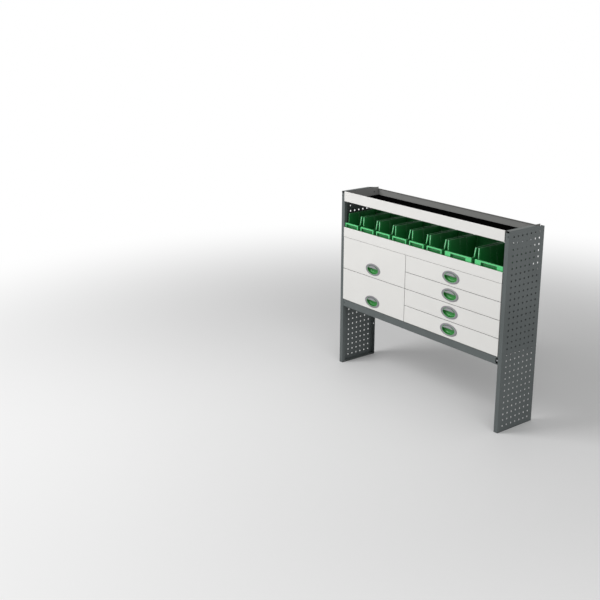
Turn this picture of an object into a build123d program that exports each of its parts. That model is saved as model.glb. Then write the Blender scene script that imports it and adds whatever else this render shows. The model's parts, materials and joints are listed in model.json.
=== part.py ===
from build123d import *
from math import radians, tan
import os

os.makedirs("parts", exist_ok=True)

# Van racking unit: two perforated side panels carry a top tray, a bin shelf with eight
# lift-out bins, and a drawer cabinet of two columns over an open bay for the wheel arch.
# X runs along the unit, Y to the wall behind it, Z up. Zero is the middle of the footprint.

# Overall sizes
width = 1476.0
height = 1254.0
depth = 312.0
handle_proud = 12.0
face_proud = 4.0

# Clearances
seat_gap = 0.3
running_gap = 0.5
front_gap = 3.0
overrun = 20.0

# Perforated side panels, folded from sheet with the flanges turned in
panel_sheet = 1.5
front_flange = 31.0
return_lip = 24.0
rear_flange = 28.0
end_flange = 31.0
flange_notch = 12.0
rear_drop = 10.0
rear_run = 80.0
pitch = 38.0
hole = 10.0
flange_hole_radius = 4.0
flange_hole_in = 8.0
flange_hole_down = 33.0

# Bolt holes for fastening the unit to the vehicle
mount_radius = 4.5
floor_hole_spacing = 228.0
wall_hole_down = 114.0
wall_hole_rise = 228.0

# Trays: the top tray and the bin shelf share one section
tray_sheet = 1.5
lip_sheet = 1.2
lip_height = 67.0
lip_top_return = 8.0
lip_low_return = 15.0
floor_rise = 5.0
rim_below_lip = 14.0
rim_return = 8.0
mat_thick = 3.0
mat_gap = 1.0

# Brackets under the top tray
bracket_sheet = 1.5
bracket_reach = 46.0
bracket_columns = 4
bracket_height = 69.0

# Bin bay, from the foot of the shelf's lip to the foot of the top tray's lip
bin_bay = 250.0

# Drawer cabinet; the legs take the height that the stack above them leaves
row_pitch = 113.5
rows_shallow = 4
rows_tall = 2
left_column = 616.0
cabinet_sheet = 1.5
cabinet_flange = 15.0
divider_width = 20.0
divider_back = 1.0
rail_sheet = 2.0
rail_drop = 49.0
rail_setback = 2.0
rail_depth = 25.0
rail_notch_wide = 18.0
rail_notch_high = 38.0
rail_notch_round = 12.0
rail_tab = 17.0
rail_tab_back = 9.0
brace_drop = 30.0

# Drawers and their telescopic runners
front_sheet = 1.2
front_depth = 22.0
front_return = 26.0
box_sheet = 1.0
box_depth = 270.0
box_rise = 8.0
box_top_down = 18.0
box_hem = 6.0
runner_space = 13.0
runner_sheet = 1.5
runner_height = 36.0
runner_rise = 25.0
runner_length = 262.0
fixed_reach = 9.0

# Oval handles: a bezel, a finger cup and a sprung latch lever
handle_rise = 57.0
bezel_half_wide = 71.0
bezel_half_high = 39.5
bezel_ring = 18.5
bezel_ring_high = 9.5
bezel_proud = 4.0
bezel_edge = 1.5
collar_wall = 2.5
collar_depth = 18.0
cup_wall = 1.5
cup_depth = 21.0
cup_draft = 1.0
cup_round = 10.0
cup_below_ring = 1.0
lever_gap_wide = 1.5
lever_gap_high = 3.0
lever_wall = 2.5
lever_foot = 10.0
lever_bulge = 1.2
lever_tuck = 3.0
pivot_down = 4.7
pivot_back = 6.0
pin_radius = 1.6
ear_radius = 2.6
ear_inner = 15.0
ear_wall = 4.0

# Bins
small_bins = 6
large_bins = 2
small_bin_pitch = 157.0
large_bin_pitch = 245.0
bin_gap_top = 20.0
bin_top_length = 290.0
bin_front_set = 7.0
bin_height = 154.0
bin_draft = 5.6
bin_wall = 2.2
bin_corner = 6.0
bin_bead = 2.0
bin_bead_deep = 4.0
bin_mouth_back = 31.0
bin_mouth_drop = 61.0
frame_gap = 27.0
small_frame_post = 10.0
large_frame_post = 48.0
frame_bar = 11.0
frame_deep = 15.0
frame_set = 5.0
frame_height = 50.0
frame_round = 5.0

# Fasteners
bolt_neck = 6.0
bolt_hole = 6.8
bolt_head_across = 10.0
bolt_head_thick = 4.0
nut_thick = 5.0
tray_bolt_back = 12.0
rail_bolt_in = 9.5
wall_bolt_in = 77.0

# Stations worked out from the sizes above
front_y = handle_proud - (depth + handle_proud) / 2
rear_y = front_y + depth
face_y = front_y - face_proud
side_x = width / 2
web_x = side_x - panel_sheet
opening_x = side_x - front_flange
lip_back_x = opening_x + panel_sheet
tray_half = opening_x - seat_gap
tray_z = height - lip_height
cabinet_height = rows_shallow * row_pitch
shelf_z = tray_z - bin_bay
rail_top = shelf_z - cabinet_height
tray_front_y = face_y + lip_sheet
pan_back_y = face_y + front_depth
runner_y = front_y + return_lip + seat_gap
column_x = left_column - opening_x
rail_y = front_y + rail_setback
floor_under = rail_top - front_gap
floor_top = floor_under + cabinet_sheet
wall_in_x = lip_back_x
wall_out_x = wall_in_x + cabinet_sheet
hole_columns = int(depth / pitch - 0.5)
hole_rows = int(height / pitch - 0.5)
first_column_y = front_y + (depth - (hole_columns - 1) * pitch) / 2
first_row_z = (height - (hole_rows - 1) * pitch) / 2


def folded(plane, points, sheet, side):
    """Section of a folded sheet: the run of outer faces, one sheet thick to one side."""
    with BuildSketch(plane) as section:
        with BuildLine():
            Polyline(*points)
            offset(amount=sheet, side=side, kind=Kind.INTERSECTION)
        make_face()
    return section.sketch


def save(part, name):
    """Label a finished piece and write it under its own name."""
    part.label = name
    export_step(part, f"parts/{name}.step")


def cross(x, z_low, z_high, y_low, y_high, thick):
    """Upright plate across X, from x towards the middle of the unit by its thickness."""
    with BuildSketch(Plane.YZ.offset(x)) as plate:
        with BuildLine():
            Polyline((y_low, z_low), (y_high, z_low), (y_high, z_high), (y_low, z_high), close=True)
        make_face()
    return extrude(plate.sketch, amount=thick)


def level(z, x_low, x_high, y_low, y_high, thick):
    """Level plate with its lower face at z."""
    with BuildSketch(Plane.XY.offset(z)) as plate:
        with BuildLine():
            Polyline((x_low, y_low), (x_high, y_low), (x_high, y_high), (x_low, y_high), close=True)
        make_face()
    return extrude(plate.sketch, amount=thick)


def drilling(centre, direction, radius, length):
    """Round cutter centred on a point, along a direction."""
    with BuildSketch(Plane(origin=centre, z_dir=direction)) as disc:
        Circle(radius)
    return extrude(disc.sketch, amount=length / 2, both=True)


def punching(centre, direction, length):
    """Square cutter centred on a point, along a direction, for the square-necked bolts."""
    with BuildSketch(Plane(origin=centre, z_dir=direction)) as square:
        Rectangle(bolt_hole, bolt_hole)
    return extrude(square.sketch, amount=length / 2, both=True)


# Side panels: perforated web, folded front flange with its return lip, rear and end flanges

tray_bolt_y = front_y + tray_bolt_back
tray_bolt_heights = [tray_z + lip_height / 2, shelf_z + lip_height / 2]
wall_bolt_heights = [rail_top + wall_bolt_in, shelf_z - wall_bolt_in]
wall_bolt_x = (web_x + wall_out_x) / 2
end_flange_x = side_x - end_flange / 2
floor_hole_y = (front_y + rear_y) / 2
rear_hole_x = side_x - rear_flange / 2

with BuildPart() as left_side_panel:
    with BuildSketch(Plane.YZ.offset(-side_x)):
        with BuildLine():
            Polyline(
                (front_y, 0),
                (rear_y, 0),
                (rear_y, height - rear_drop),
                (rear_y - rear_run, height),
                (front_y, height),
                close=True,
            )
        make_face()
    extrude(amount=panel_sheet)
    front_fold = [
        (-opening_x, front_y + return_lip),
        (-opening_x, front_y),
        (-side_x, front_y),
        (-side_x, front_y + panel_sheet),
    ]
    extrude(folded(Plane.XY, front_fold, panel_sheet, Side.RIGHT), amount=height - flange_notch)
    rear_fold = [(-side_x, rear_y - panel_sheet), (-side_x, rear_y), (rear_flange - side_x, rear_y)]
    extrude(folded(Plane.XY, rear_fold, panel_sheet, Side.RIGHT), amount=height - rear_drop)
    add(level(0, -side_x, end_flange - side_x, front_y, rear_y, panel_sheet))
    top_z = height - panel_sheet
    add(level(top_z, -side_x, end_flange - side_x, front_y, rear_y - rear_run, panel_sheet))
    for spot in (-floor_hole_spacing / 2, floor_hole_spacing / 2):
        floor_hole = (-end_flange_x, floor_hole_y + spot, 0)
        add(drilling(floor_hole, (0, 0, 1), mount_radius, overrun), mode=Mode.SUBTRACT)
    for spot in (wall_hole_rise, height - wall_hole_down):
        add(drilling((-rear_hole_x, rear_y, spot), (0, 1, 0), mount_radius, overrun), mode=Mode.SUBTRACT)
    flange_hole = (flange_hole_in - side_x, front_y, height - flange_hole_down)
    add(drilling(flange_hole, (0, 1, 0), flange_hole_radius, overrun), mode=Mode.SUBTRACT)
    for spot in tray_bolt_heights:
        lip_hole = (-opening_x, tray_bolt_y, spot)
        add(punching(lip_hole, (1, 0, 0), overrun), mode=Mode.SUBTRACT)
    for spot in wall_bolt_heights:
        rear_hole = (-wall_bolt_x, rear_y, spot)
        add(punching(rear_hole, (0, 1, 0), overrun), mode=Mode.SUBTRACT)
    with BuildSketch(Plane.YZ.offset(-side_x)):
        with Locations(((front_y + rear_y) / 2, height / 2)):
            with GridLocations(pitch, pitch, hole_columns, hole_rows):
                Rectangle(hole, hole)
    extrude(amount=panel_sheet, mode=Mode.SUBTRACT)

with BuildPart() as right_side_panel:
    mirror(left_side_panel.part, about=Plane.YZ)

save(left_side_panel.part, "left_side_panel")
save(right_side_panel.part, "right_side_panel")


# Trays: a grey pan behind a white lip, one for the top and one for the bins


def tray_pan(foot):
    """Pan of a tray: floor, front and rear walls with hems, end walls with fixing holes."""
    floor_z = foot + floor_rise
    rim_z = foot + lip_height - rim_below_lip
    top = foot + lip_height - lip_sheet
    section = [
        (tray_front_y, top),
        (tray_front_y, floor_z - tray_sheet),
        (rear_y, floor_z - tray_sheet),
        (rear_y, rim_z),
        (rear_y - rim_return, rim_z),
    ]
    with BuildPart() as pan:
        extrude(folded(Plane.YZ.offset(-tray_half), section, tray_sheet, Side.LEFT), amount=2 * tray_half)
        add(cross(-tray_half, floor_z - tray_sheet, rim_z, tray_front_y, rear_y, tray_sheet))
        add(cross(tray_half, floor_z - tray_sheet, rim_z, tray_front_y, rear_y, -tray_sheet))
        for side in (-1, 1):
            end_bolt = (side * tray_half, tray_bolt_y, foot + lip_height / 2)
            add(punching(end_bolt, (1, 0, 0), overrun), mode=Mode.SUBTRACT)
            with BuildSketch(Plane.YZ.offset(side * tray_half)):
                with Locations((first_column_y + (hole_columns - 1) * pitch, foot + lip_height / 2)):
                    Rectangle(hole, hole)
            extrude(amount=overrun, both=True, mode=Mode.SUBTRACT)
    return pan.part


def tray_lip(foot):
    """White front lip with its top and lower edges folded back."""
    section = [
        (face_y + lip_low_return, foot),
        (face_y, foot),
        (face_y, foot + lip_height),
        (face_y + lip_top_return, foot + lip_height),
    ]
    with BuildPart() as lip:
        extrude(folded(Plane.YZ.offset(-tray_half), section, lip_sheet, Side.RIGHT), amount=2 * tray_half)
    return lip.part


save(tray_pan(tray_z), "top_tray")
save(tray_lip(tray_z), "top_tray_lip")
save(tray_pan(shelf_z), "bin_shelf")
save(tray_lip(shelf_z), "bin_shelf_lip")

mat_x = tray_half - tray_sheet - mat_gap
mat_front_y = tray_front_y + tray_sheet + mat_gap
mat_rear_y = rear_y - tray_sheet - mat_gap

with BuildPart() as top_tray_mat:
    add(level(tray_z + floor_rise, -mat_x, mat_x, mat_front_y, mat_rear_y, mat_thick))

save(top_tray_mat.part, "top_tray_mat")

# Brackets bolted to the webs, with a ledge under each end of the top tray
bracket_top = tray_z + floor_rise - tray_sheet
bracket_low = bracket_top - bracket_height
bracket_middle = (front_y + rear_y) / 2
bracket_half = bracket_columns * pitch / 2
bracket_bolt_z = first_row_z + (hole_rows - 2) * pitch
bracket_bolt_ys = [bracket_middle - pitch, bracket_middle + pitch]

with BuildPart() as tray_brackets:
    ledge = [(-web_x, bracket_low), (-web_x, bracket_top), (bracket_reach - web_x, bracket_top)]
    angle = folded(Plane.XZ.offset(-bracket_middle), ledge, bracket_sheet, Side.RIGHT)
    extrude(angle, amount=bracket_half, both=True)
    for spot in bracket_bolt_ys:
        plate_hole = (-web_x, spot, bracket_bolt_z)
        add(punching(plate_hole, (1, 0, 0), overrun), mode=Mode.SUBTRACT)
    mirror(tray_brackets.part, about=Plane.YZ)

save(tray_brackets.part, "tray_brackets")


# Drawer cabinet: side walls behind the return lips, divider, floor, front and rear rails

with BuildPart() as cabinet_left_wall:
    wall_back = rear_y - panel_sheet
    wall_fold = [(-wall_in_x, front_y + panel_sheet), (-wall_in_x, wall_back), (-web_x, wall_back)]
    extrude(
        folded(Plane.XY.offset(floor_under), wall_fold, cabinet_sheet, Side.LEFT),
        amount=shelf_z + floor_rise - tray_sheet - floor_under,
    )
    flange_x = cabinet_flange - wall_in_x
    flange_y = rail_y + rail_depth + seat_gap
    for flange_z in (floor_under - cabinet_sheet, shelf_z + floor_rise - tray_sheet - cabinet_sheet):
        add(level(flange_z, -wall_out_x, flange_x, flange_y, wall_back - cabinet_sheet, cabinet_sheet))
    for spot in wall_bolt_heights:
        back_hole = (-wall_bolt_x, wall_back, spot)
        add(punching(back_hole, (0, 1, 0), overrun), mode=Mode.SUBTRACT)

with BuildPart() as cabinet_right_wall:
    mirror(cabinet_left_wall.part, about=Plane.YZ)

divider_front_y = pan_back_y + divider_back
divider_left = column_x - divider_width / 2
divider_right = column_x + divider_width / 2

with BuildPart() as column_divider:
    divider_fold = [
        (divider_left, rear_y - panel_sheet),
        (divider_left, divider_front_y),
        (divider_right, divider_front_y),
        (divider_right, rear_y - panel_sheet),
    ]
    extrude(
        folded(Plane.XY.offset(floor_top), divider_fold, cabinet_sheet, Side.LEFT),
        amount=shelf_z + floor_rise - tray_sheet - floor_top,
    )

with BuildPart() as cabinet_floor:
    floor_fold = [
        (rail_y + rail_sheet, floor_top),
        (rear_y - panel_sheet, floor_top),
        (rear_y - panel_sheet, floor_top - brace_drop),
    ]
    extrude(
        folded(Plane.YZ.offset(-tray_half), floor_fold, cabinet_sheet, Side.RIGHT),
        amount=2 * tray_half,
    )

rail_foot = floor_under - rail_drop
notch_z = rail_foot + rail_drop / 2
tab_y = rail_y + rail_tab_back

with BuildPart() as front_rail:
    rail_fold = [
        (rail_y + rail_depth, rail_foot),
        (rail_y, rail_foot),
        (rail_y, floor_under),
        (rail_y + rail_depth, floor_under),
    ]
    extrude(folded(Plane.YZ.offset(-tray_half), rail_fold, rail_sheet, Side.RIGHT), amount=2 * tray_half)
    with BuildSketch(Plane.XZ.offset(-rail_y)):
        with Locations((tray_half, notch_z)):
            RectangleRounded(2 * rail_notch_wide, rail_notch_high, rail_notch_round)
    extrude(amount=rail_sheet, both=True, mode=Mode.SUBTRACT)
    for side in (-1, 1):
        with BuildSketch(Plane.XZ.offset(-tab_y)):
            with Locations((side * (tray_half - rail_tab / 2), notch_z)):
                Rectangle(rail_tab, rail_drop - 2 * rail_sheet)
        extrude(amount=-rail_sheet)
        tab_hole = (side * (tray_half - rail_bolt_in), tab_y, notch_z)
        add(punching(tab_hole, (0, 1, 0), overrun), mode=Mode.SUBTRACT)

save(cabinet_left_wall.part, "cabinet_left_wall")
save(cabinet_right_wall.part, "cabinet_right_wall")
save(column_divider.part, "column_divider")
save(cabinet_floor.part, "cabinet_floor")
save(front_rail.part, "front_rail")


# Drawers: front pan, box with the moving runner members, middle runner members

web_to_web = runner_sheet + running_gap
middle_half = runner_height / 2 - web_to_web
inner_half = middle_half - web_to_web
inner_start = 2 * web_to_web
middle_end = runner_space - runner_sheet


def runner_section(plane, wall_x, inward, middle_z, start, end, half, opens_inward):
    """Channel section of one runner member, set off from the wall that carries it."""
    near = wall_x + inward * start
    far = wall_x + inward * end
    tip, root = (far, near) if opens_inward else (near, far)
    low = middle_z - half
    high = middle_z + half
    points = [(tip, low), (root, low), (root, high), (tip, high)]
    side = Side.RIGHT if root < tip else Side.LEFT
    return folded(plane, points, runner_sheet, side)


def drawer_front(x_low, x_high, z_low, z_high, handle_x, handle_z):
    """Front pan: edges folded back and in again, and an oval cut-out for the handle."""
    with BuildPart() as front:
        with BuildSketch(Plane.XZ.offset(-face_y)):
            with Locations(((x_low + x_high) / 2, (z_low + z_high) / 2)):
                Rectangle(x_high - x_low, z_high - z_low)
        extrude(amount=-front_depth)
        for deep, inset, back in (
            (front_sheet, front_sheet, front_depth - front_sheet),
            (front_depth / 2, front_return, front_depth),
        ):
            with BuildSketch(Plane.XZ.offset(-face_y - deep)):
                with Locations(((x_low + x_high) / 2, (z_low + z_high) / 2)):
                    Rectangle(x_high - x_low - 2 * inset, z_high - z_low - 2 * inset)
            extrude(amount=deep - back, mode=Mode.SUBTRACT)
        with BuildSketch(Plane.XZ.offset(-face_y)):
            with Locations((handle_x, handle_z)):
                Ellipse(collar_wide + seat_gap, collar_high + seat_gap)
        extrude(amount=-front_sheet, mode=Mode.SUBTRACT)
    return front.part


def drawer_box(x_low, x_high, z_low, z_high, bay_low, bay_high, runner_z):
    """Open box with turned-out hems and a runner channel along each side."""
    with BuildPart() as box:
        with BuildSketch(Plane.XY.offset(z_low)):
            with Locations(((x_low + x_high) / 2, pan_back_y + box_depth / 2)):
                Rectangle(x_high - x_low, box_depth)
        extrude(amount=z_high - z_low)
        with BuildSketch(Plane.XY.offset(z_low + box_sheet)):
            with Locations(((x_low + x_high) / 2, pan_back_y + box_depth / 2)):
                Rectangle(x_high - x_low - 2 * box_sheet, box_depth - 2 * box_sheet)
        extrude(amount=z_high - z_low, mode=Mode.SUBTRACT)
        hem_back = pan_back_y + box_depth
        add(level(z_high - box_sheet, x_low - box_hem, x_low, pan_back_y, hem_back, box_sheet))
        add(level(z_high - box_sheet, x_high, x_high + box_hem, pan_back_y, hem_back, box_sheet))
        rear = Plane.XZ.offset(-runner_y)
        for wall_x, inward in ((bay_low, 1), (bay_high, -1)):
            member = runner_section(
                rear, wall_x, inward, runner_z, inner_start, runner_space, inner_half, False
            )
            extrude(member, amount=-runner_length)
    return box.part


def runner_pair(bay_low, bay_high, runner_z, start, end, half):
    """One channel of the runners on each side of a drawer, open towards the drawer."""
    with BuildPart() as pair:
        rear = Plane.XZ.offset(-runner_y)
        for wall_x, inward in ((bay_low, 1), (bay_high, -1)):
            channel = runner_section(rear, wall_x, inward, runner_z, start, end, half, True)
            extrude(channel, amount=-runner_length)
    return pair.part


# Handles: bezel with its collar, bowl-shaped finger cup, latch lever on a pin

ring_y = face_y - bezel_proud
opening_wide = bezel_half_wide - bezel_ring
opening_high = bezel_half_high - bezel_ring_high
collar_wide = opening_wide + collar_wall
collar_high = opening_high + collar_wall
cup_y = ring_y + cup_below_ring
cup_wide = opening_wide - seat_gap
cup_high = opening_high - seat_gap
lever_y = front_y - handle_proud
lever_wide = cup_wide - cup_wall - lever_gap_wide
lever_high = cup_high - cup_wall - lever_gap_high
pivot_y = ring_y + pivot_back
pivot_up = cup_high - cup_wall - pivot_down


def handle_bezel(x, z):
    """Oval ring on the drawer front with a collar through the cut-out."""
    stations = [
        (face_y, bezel_half_wide, bezel_half_high),
        (ring_y + bezel_edge, bezel_half_wide, bezel_half_high),
        (ring_y, bezel_half_wide - bezel_edge, bezel_half_high - bezel_edge),
    ]
    with BuildPart() as bezel:
        add(oval_block(x, z, stations))
        with BuildSketch(Plane.XZ.offset(-face_y)):
            with Locations((x, z)):
                Ellipse(collar_wide, collar_high)
        extrude(amount=-collar_depth)
        with BuildSketch(Plane.XZ.offset(-ring_y)):
            with Locations((x, z)):
                Ellipse(opening_wide, opening_high)
        extrude(amount=-bezel_proud - collar_depth, mode=Mode.SUBTRACT)
    return bezel.part


def oval_block(x, z, stations):
    """Oval block through sections given as (place along Y, half width, half height)."""
    with BuildPart() as block:
        for place, half_wide, half_high in stations:
            with BuildSketch(Plane.XZ.offset(-place)):
                with Locations((x, z)):
                    Ellipse(half_wide, half_high)
        loft(ruled=True)
    return block.part


def cup_block(x, z, inset, length):
    """Drafted oval block with a chamfered back, the outer or the inner form of the finger cup."""
    wide = cup_wide - inset
    high = cup_high - inset
    back = cup_draft + cup_round
    stations = [
        (cup_y, wide, high),
        (cup_y + length - cup_round, wide - cup_draft, high - cup_draft),
        (cup_y + length, wide - back, high - back),
    ]
    return oval_block(x, z, stations)


def finger_cup(x, z):
    """Bowl of the handle, with two ears that carry the lever's pin."""
    block = cup_block(x, z, 0, cup_depth)
    with BuildPart() as ears:
        for start in (x - ear_inner - ear_wall, x + ear_inner):
            with BuildSketch(Plane.YZ.offset(start)):
                with Locations((pivot_y, z + pivot_up)):
                    Circle(ear_radius)
                with Locations((pivot_y, z + pivot_up + (pivot_down + cup_wall) / 2)):
                    Rectangle(2 * ear_radius, pivot_down + cup_wall)
                with Locations((pivot_y, z + pivot_up)):
                    Circle(pin_radius + seat_gap, mode=Mode.SUBTRACT)
            extrude(amount=ear_wall)
        add(block, mode=Mode.INTERSECT)
    with BuildPart() as cup:
        add(block)
        add(cup_block(x, z, cup_wall, cup_depth - cup_wall), mode=Mode.SUBTRACT)
        add(ears.part)
    return cup.part


def latch_lever(x, z):
    """Hood of the handle: a bulged plate with a tucked lower edge, on a pin along its top."""
    top = z + lever_high
    foot = z + lever_foot
    inner_y = lever_y + lever_wall
    inner_foot = foot + lever_wall
    with BuildPart() as lever:
        with BuildSketch(Plane.YZ.offset(x)):
            with BuildLine():
                outer = SagittaArc((ring_y, top), (lever_y, foot), lever_bulge)
                Polyline((lever_y, foot), (inner_y + lever_tuck, foot), (inner_y, inner_foot))
                inner = SagittaArc((inner_y, inner_foot), (ring_y + lever_wall, top), -lever_bulge)
                Line(inner @ 1, outer @ 0)
            make_face()
        extrude(amount=lever_wide, both=True)
        with BuildSketch(Plane.XZ.offset(-lever_y + overrun)):
            with Locations((x, z)):
                Ellipse(lever_wide, lever_high)
        extrude(amount=-2 * overrun - lever_wall, mode=Mode.INTERSECT)
        with BuildSketch(Plane.YZ.offset(x)):
            with Locations((pivot_y - pivot_back / 2, z + pivot_up)):
                Rectangle(pivot_back, 2 * pin_radius)
        extrude(amount=ear_inner - running_gap, both=True)
        with BuildSketch(Plane.YZ.offset(x)):
            with Locations((pivot_y, z + pivot_up)):
                Circle(pin_radius)
        extrude(amount=ear_inner + ear_wall, both=True)
    return lever.part


bays = [
    ("left", -opening_x, column_x, -wall_in_x, divider_left, rows_tall),
    ("right", column_x, opening_x, divider_right, wall_in_x, rows_shallow),
]
fixed_parts = []

for column, edge_low, edge_high, bay_low, bay_high, rows in bays:
    row_height = cabinet_height / rows
    handle_x = (edge_low + edge_high) / 2
    for row in range(rows):
        name = f"{column}_drawer_{row + 1}"
        row_foot = rail_top + (rows - 1 - row) * row_height
        x_low = edge_low + front_gap / 2
        x_high = edge_high - front_gap / 2
        z_low = row_foot + front_gap / 2
        z_high = row_foot + row_height - front_gap / 2
        handle_z = row_foot + handle_rise
        box_low = z_low + box_rise
        runner_z = box_low + runner_rise
        save(drawer_front(x_low, x_high, z_low, z_high, handle_x, handle_z), f"{name}_front")
        box = drawer_box(
            bay_low + runner_space,
            bay_high - runner_space,
            box_low,
            z_high - box_top_down,
            bay_low,
            bay_high,
            runner_z,
        )
        save(box, f"{name}_box")
        middle = runner_pair(bay_low, bay_high, runner_z, web_to_web, middle_end, middle_half)
        save(middle, f"{name}_runners")
        save(handle_bezel(handle_x, handle_z), f"{name}_bezel")
        save(finger_cup(handle_x, handle_z), f"{name}_cup")
        save(latch_lever(handle_x, handle_z), f"{name}_latch")
        fixed_parts.append(runner_pair(bay_low, bay_high, runner_z, 0, fixed_reach, runner_height / 2))

with BuildPart() as fixed_runners:
    add(fixed_parts)

save(fixed_runners.part, "fixed_runners")


# Bins: drafted boxes with a rolled rim, a scooped mouth and a label frame

bin_z = shelf_z + floor_rise + seat_gap
bin_top_z = bin_z + bin_height
mouth_z = bin_top_z - bin_mouth_drop
mouth_y = front_y + bin_front_set + bin_mouth_back
frame_y = front_y + frame_set
bin_middle_y = front_y + bin_front_set + bin_top_length / 2


def drafted(x, foot_z, top_wide, top_long, tall, corner):
    """Upright block that grows by the draft angle from its foot to its top."""
    grow = tall * tan(radians(bin_draft))
    with BuildPart() as block:
        for rise, less in ((0, grow), (tall, 0)):
            with BuildSketch(Plane((x, bin_middle_y, foot_z + rise))):
                RectangleRounded(top_wide - 2 * less, top_long - 2 * less, corner)
        loft(ruled=True)
    return block.part


def storage_bin(x, bin_pitch, post):
    """Open-fronted storage bin."""
    rim_wide = bin_pitch - bin_gap_top
    wide = rim_wide - 2 * bin_bead
    long = bin_top_length - 2 * bin_bead
    half = (bin_pitch - frame_gap) / 2
    with BuildPart() as rim:
        add(drafted(x, bin_z, rim_wide, bin_top_length, bin_height, bin_corner + bin_bead))
        with BuildSketch(Plane.YZ.offset(x)):
            with BuildLine():
                back_y = mouth_y + bin_top_length
                Polyline(
                    (mouth_y, mouth_z),
                    (mouth_y + bin_bead_deep, mouth_z),
                    (mouth_y + bin_bead_deep, bin_top_z - bin_bead_deep),
                    (back_y, bin_top_z - bin_bead_deep),
                    (back_y, bin_top_z),
                    (mouth_y, bin_top_z),
                    close=True,
                )
            make_face()
        extrude(amount=bin_pitch, both=True, mode=Mode.INTERSECT)
    with BuildPart() as body:
        add(drafted(x, bin_z, wide, long, bin_height, bin_corner))
        add(rim.part)
        with BuildSketch(Plane.XZ.offset(-frame_y)) as frame:
            with Locations((x, mouth_z - frame_height / 2)):
                Rectangle(2 * half, frame_height)
            fillet(frame.vertices().group_by(Axis.Z)[-1], radius=frame_round)
            with Locations((x, mouth_z - frame_bar - (frame_height - frame_bar) / 2)):
                Rectangle(2 * (half - post), frame_height - frame_bar, mode=Mode.SUBTRACT)
        extrude(amount=-frame_deep)
        inner = drafted(
            x,
            bin_z + bin_wall,
            wide - 2 * bin_wall,
            long - 2 * bin_wall,
            bin_height - bin_wall,
            bin_corner - bin_wall,
        )
        add(inner, mode=Mode.SUBTRACT)
        with BuildSketch(Plane.YZ.offset(x)):
            with Locations((mouth_y - bin_mouth_back, mouth_z + bin_mouth_drop / 2)):
                Rectangle(2 * bin_mouth_back, bin_mouth_drop)
        extrude(amount=bin_pitch, both=True, mode=Mode.SUBTRACT)
    return body.part


row_start = -(small_bins * small_bin_pitch + large_bins * large_bin_pitch) / 2
for index in range(small_bins):
    centre = row_start + (index + 1 / 2) * small_bin_pitch
    save(storage_bin(centre, small_bin_pitch, small_frame_post), f"small_bin_{index + 1}")
for index in range(large_bins):
    centre = row_start + small_bins * small_bin_pitch + (index + 1 / 2) * large_bin_pitch
    save(storage_bin(centre, large_bin_pitch, large_frame_post), f"large_bin_{index + 1}")


# Fasteners: bolts with hexagon nuts, and clinched bolts that end flush with the outer face


def bolt(point, direction, grip, nut):
    """Square-necked bolt: head on the near side of the point, neck along the direction."""
    shaft = Plane(origin=point, z_dir=direction)
    with BuildPart() as piece:
        with BuildSketch(shaft):
            RegularPolygon(bolt_head_across / 2, 6, major_radius=False)
        extrude(amount=-bolt_head_thick)
        with BuildSketch(shaft):
            Rectangle(bolt_neck, bolt_neck)
        extrude(amount=grip + nut)
        if nut > 0:
            with BuildSketch(shaft.offset(grip)):
                RegularPolygon(bolt_head_across / 2, 6, major_radius=False)
            extrude(amount=nut)
    return piece.part


bolts_made = []
lip_grip = panel_sheet + seat_gap + tray_sheet
for side in (-1, 1):
    outward = (side, 0, 0)
    for spot in tray_bolt_heights:
        head_face = (side * (tray_half - tray_sheet), tray_bolt_y, spot)
        bolts_made.append(bolt(head_face, outward, lip_grip, nut_thick))
    for spot in bracket_bolt_ys:
        head_face = (side * (web_x - bracket_sheet), spot, bracket_bolt_z)
        bolts_made.append(bolt(head_face, outward, bracket_sheet + panel_sheet, 0))
    for spot in wall_bolt_heights:
        head_face = (side * wall_bolt_x, rear_y - panel_sheet - cabinet_sheet, spot)
        bolts_made.append(bolt(head_face, (0, 1, 0), cabinet_sheet + panel_sheet, 0))
    head_face = (side * (tray_half - rail_bolt_in), tab_y, notch_z)
    bolts_made.append(bolt(head_face, (0, 1, 0), rail_sheet, nut_thick))

with BuildPart() as bolts:
    add(bolts_made)

save(bolts.part, "bolts")
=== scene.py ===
"""Van racking unit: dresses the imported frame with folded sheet, moulded plastic and a studio."""

import json
import logging
import math
from dataclasses import dataclass
from enum import Enum
from typing import Callable, Iterable, Sequence

import bmesh
import bpy
from mathutils import Matrix, Vector


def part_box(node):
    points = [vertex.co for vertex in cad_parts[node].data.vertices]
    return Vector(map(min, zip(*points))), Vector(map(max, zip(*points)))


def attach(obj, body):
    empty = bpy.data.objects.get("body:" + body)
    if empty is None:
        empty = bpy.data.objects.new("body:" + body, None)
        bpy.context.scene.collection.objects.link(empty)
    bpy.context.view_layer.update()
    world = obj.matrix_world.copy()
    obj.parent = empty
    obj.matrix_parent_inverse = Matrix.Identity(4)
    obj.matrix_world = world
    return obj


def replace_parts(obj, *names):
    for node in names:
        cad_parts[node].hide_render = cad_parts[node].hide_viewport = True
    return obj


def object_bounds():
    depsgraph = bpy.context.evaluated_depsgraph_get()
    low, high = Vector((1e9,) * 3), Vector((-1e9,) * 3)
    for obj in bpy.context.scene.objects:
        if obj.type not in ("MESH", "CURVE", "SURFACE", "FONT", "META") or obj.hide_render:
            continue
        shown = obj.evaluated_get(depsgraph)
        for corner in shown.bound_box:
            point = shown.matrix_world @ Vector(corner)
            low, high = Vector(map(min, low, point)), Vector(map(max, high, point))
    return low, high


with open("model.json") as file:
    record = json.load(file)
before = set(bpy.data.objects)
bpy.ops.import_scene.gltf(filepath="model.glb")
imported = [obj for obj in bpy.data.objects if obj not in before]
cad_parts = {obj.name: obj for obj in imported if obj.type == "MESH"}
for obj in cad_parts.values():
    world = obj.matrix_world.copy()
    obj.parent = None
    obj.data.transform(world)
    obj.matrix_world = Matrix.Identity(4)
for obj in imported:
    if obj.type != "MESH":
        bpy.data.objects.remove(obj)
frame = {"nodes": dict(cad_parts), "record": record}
CAD_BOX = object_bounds()

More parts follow.
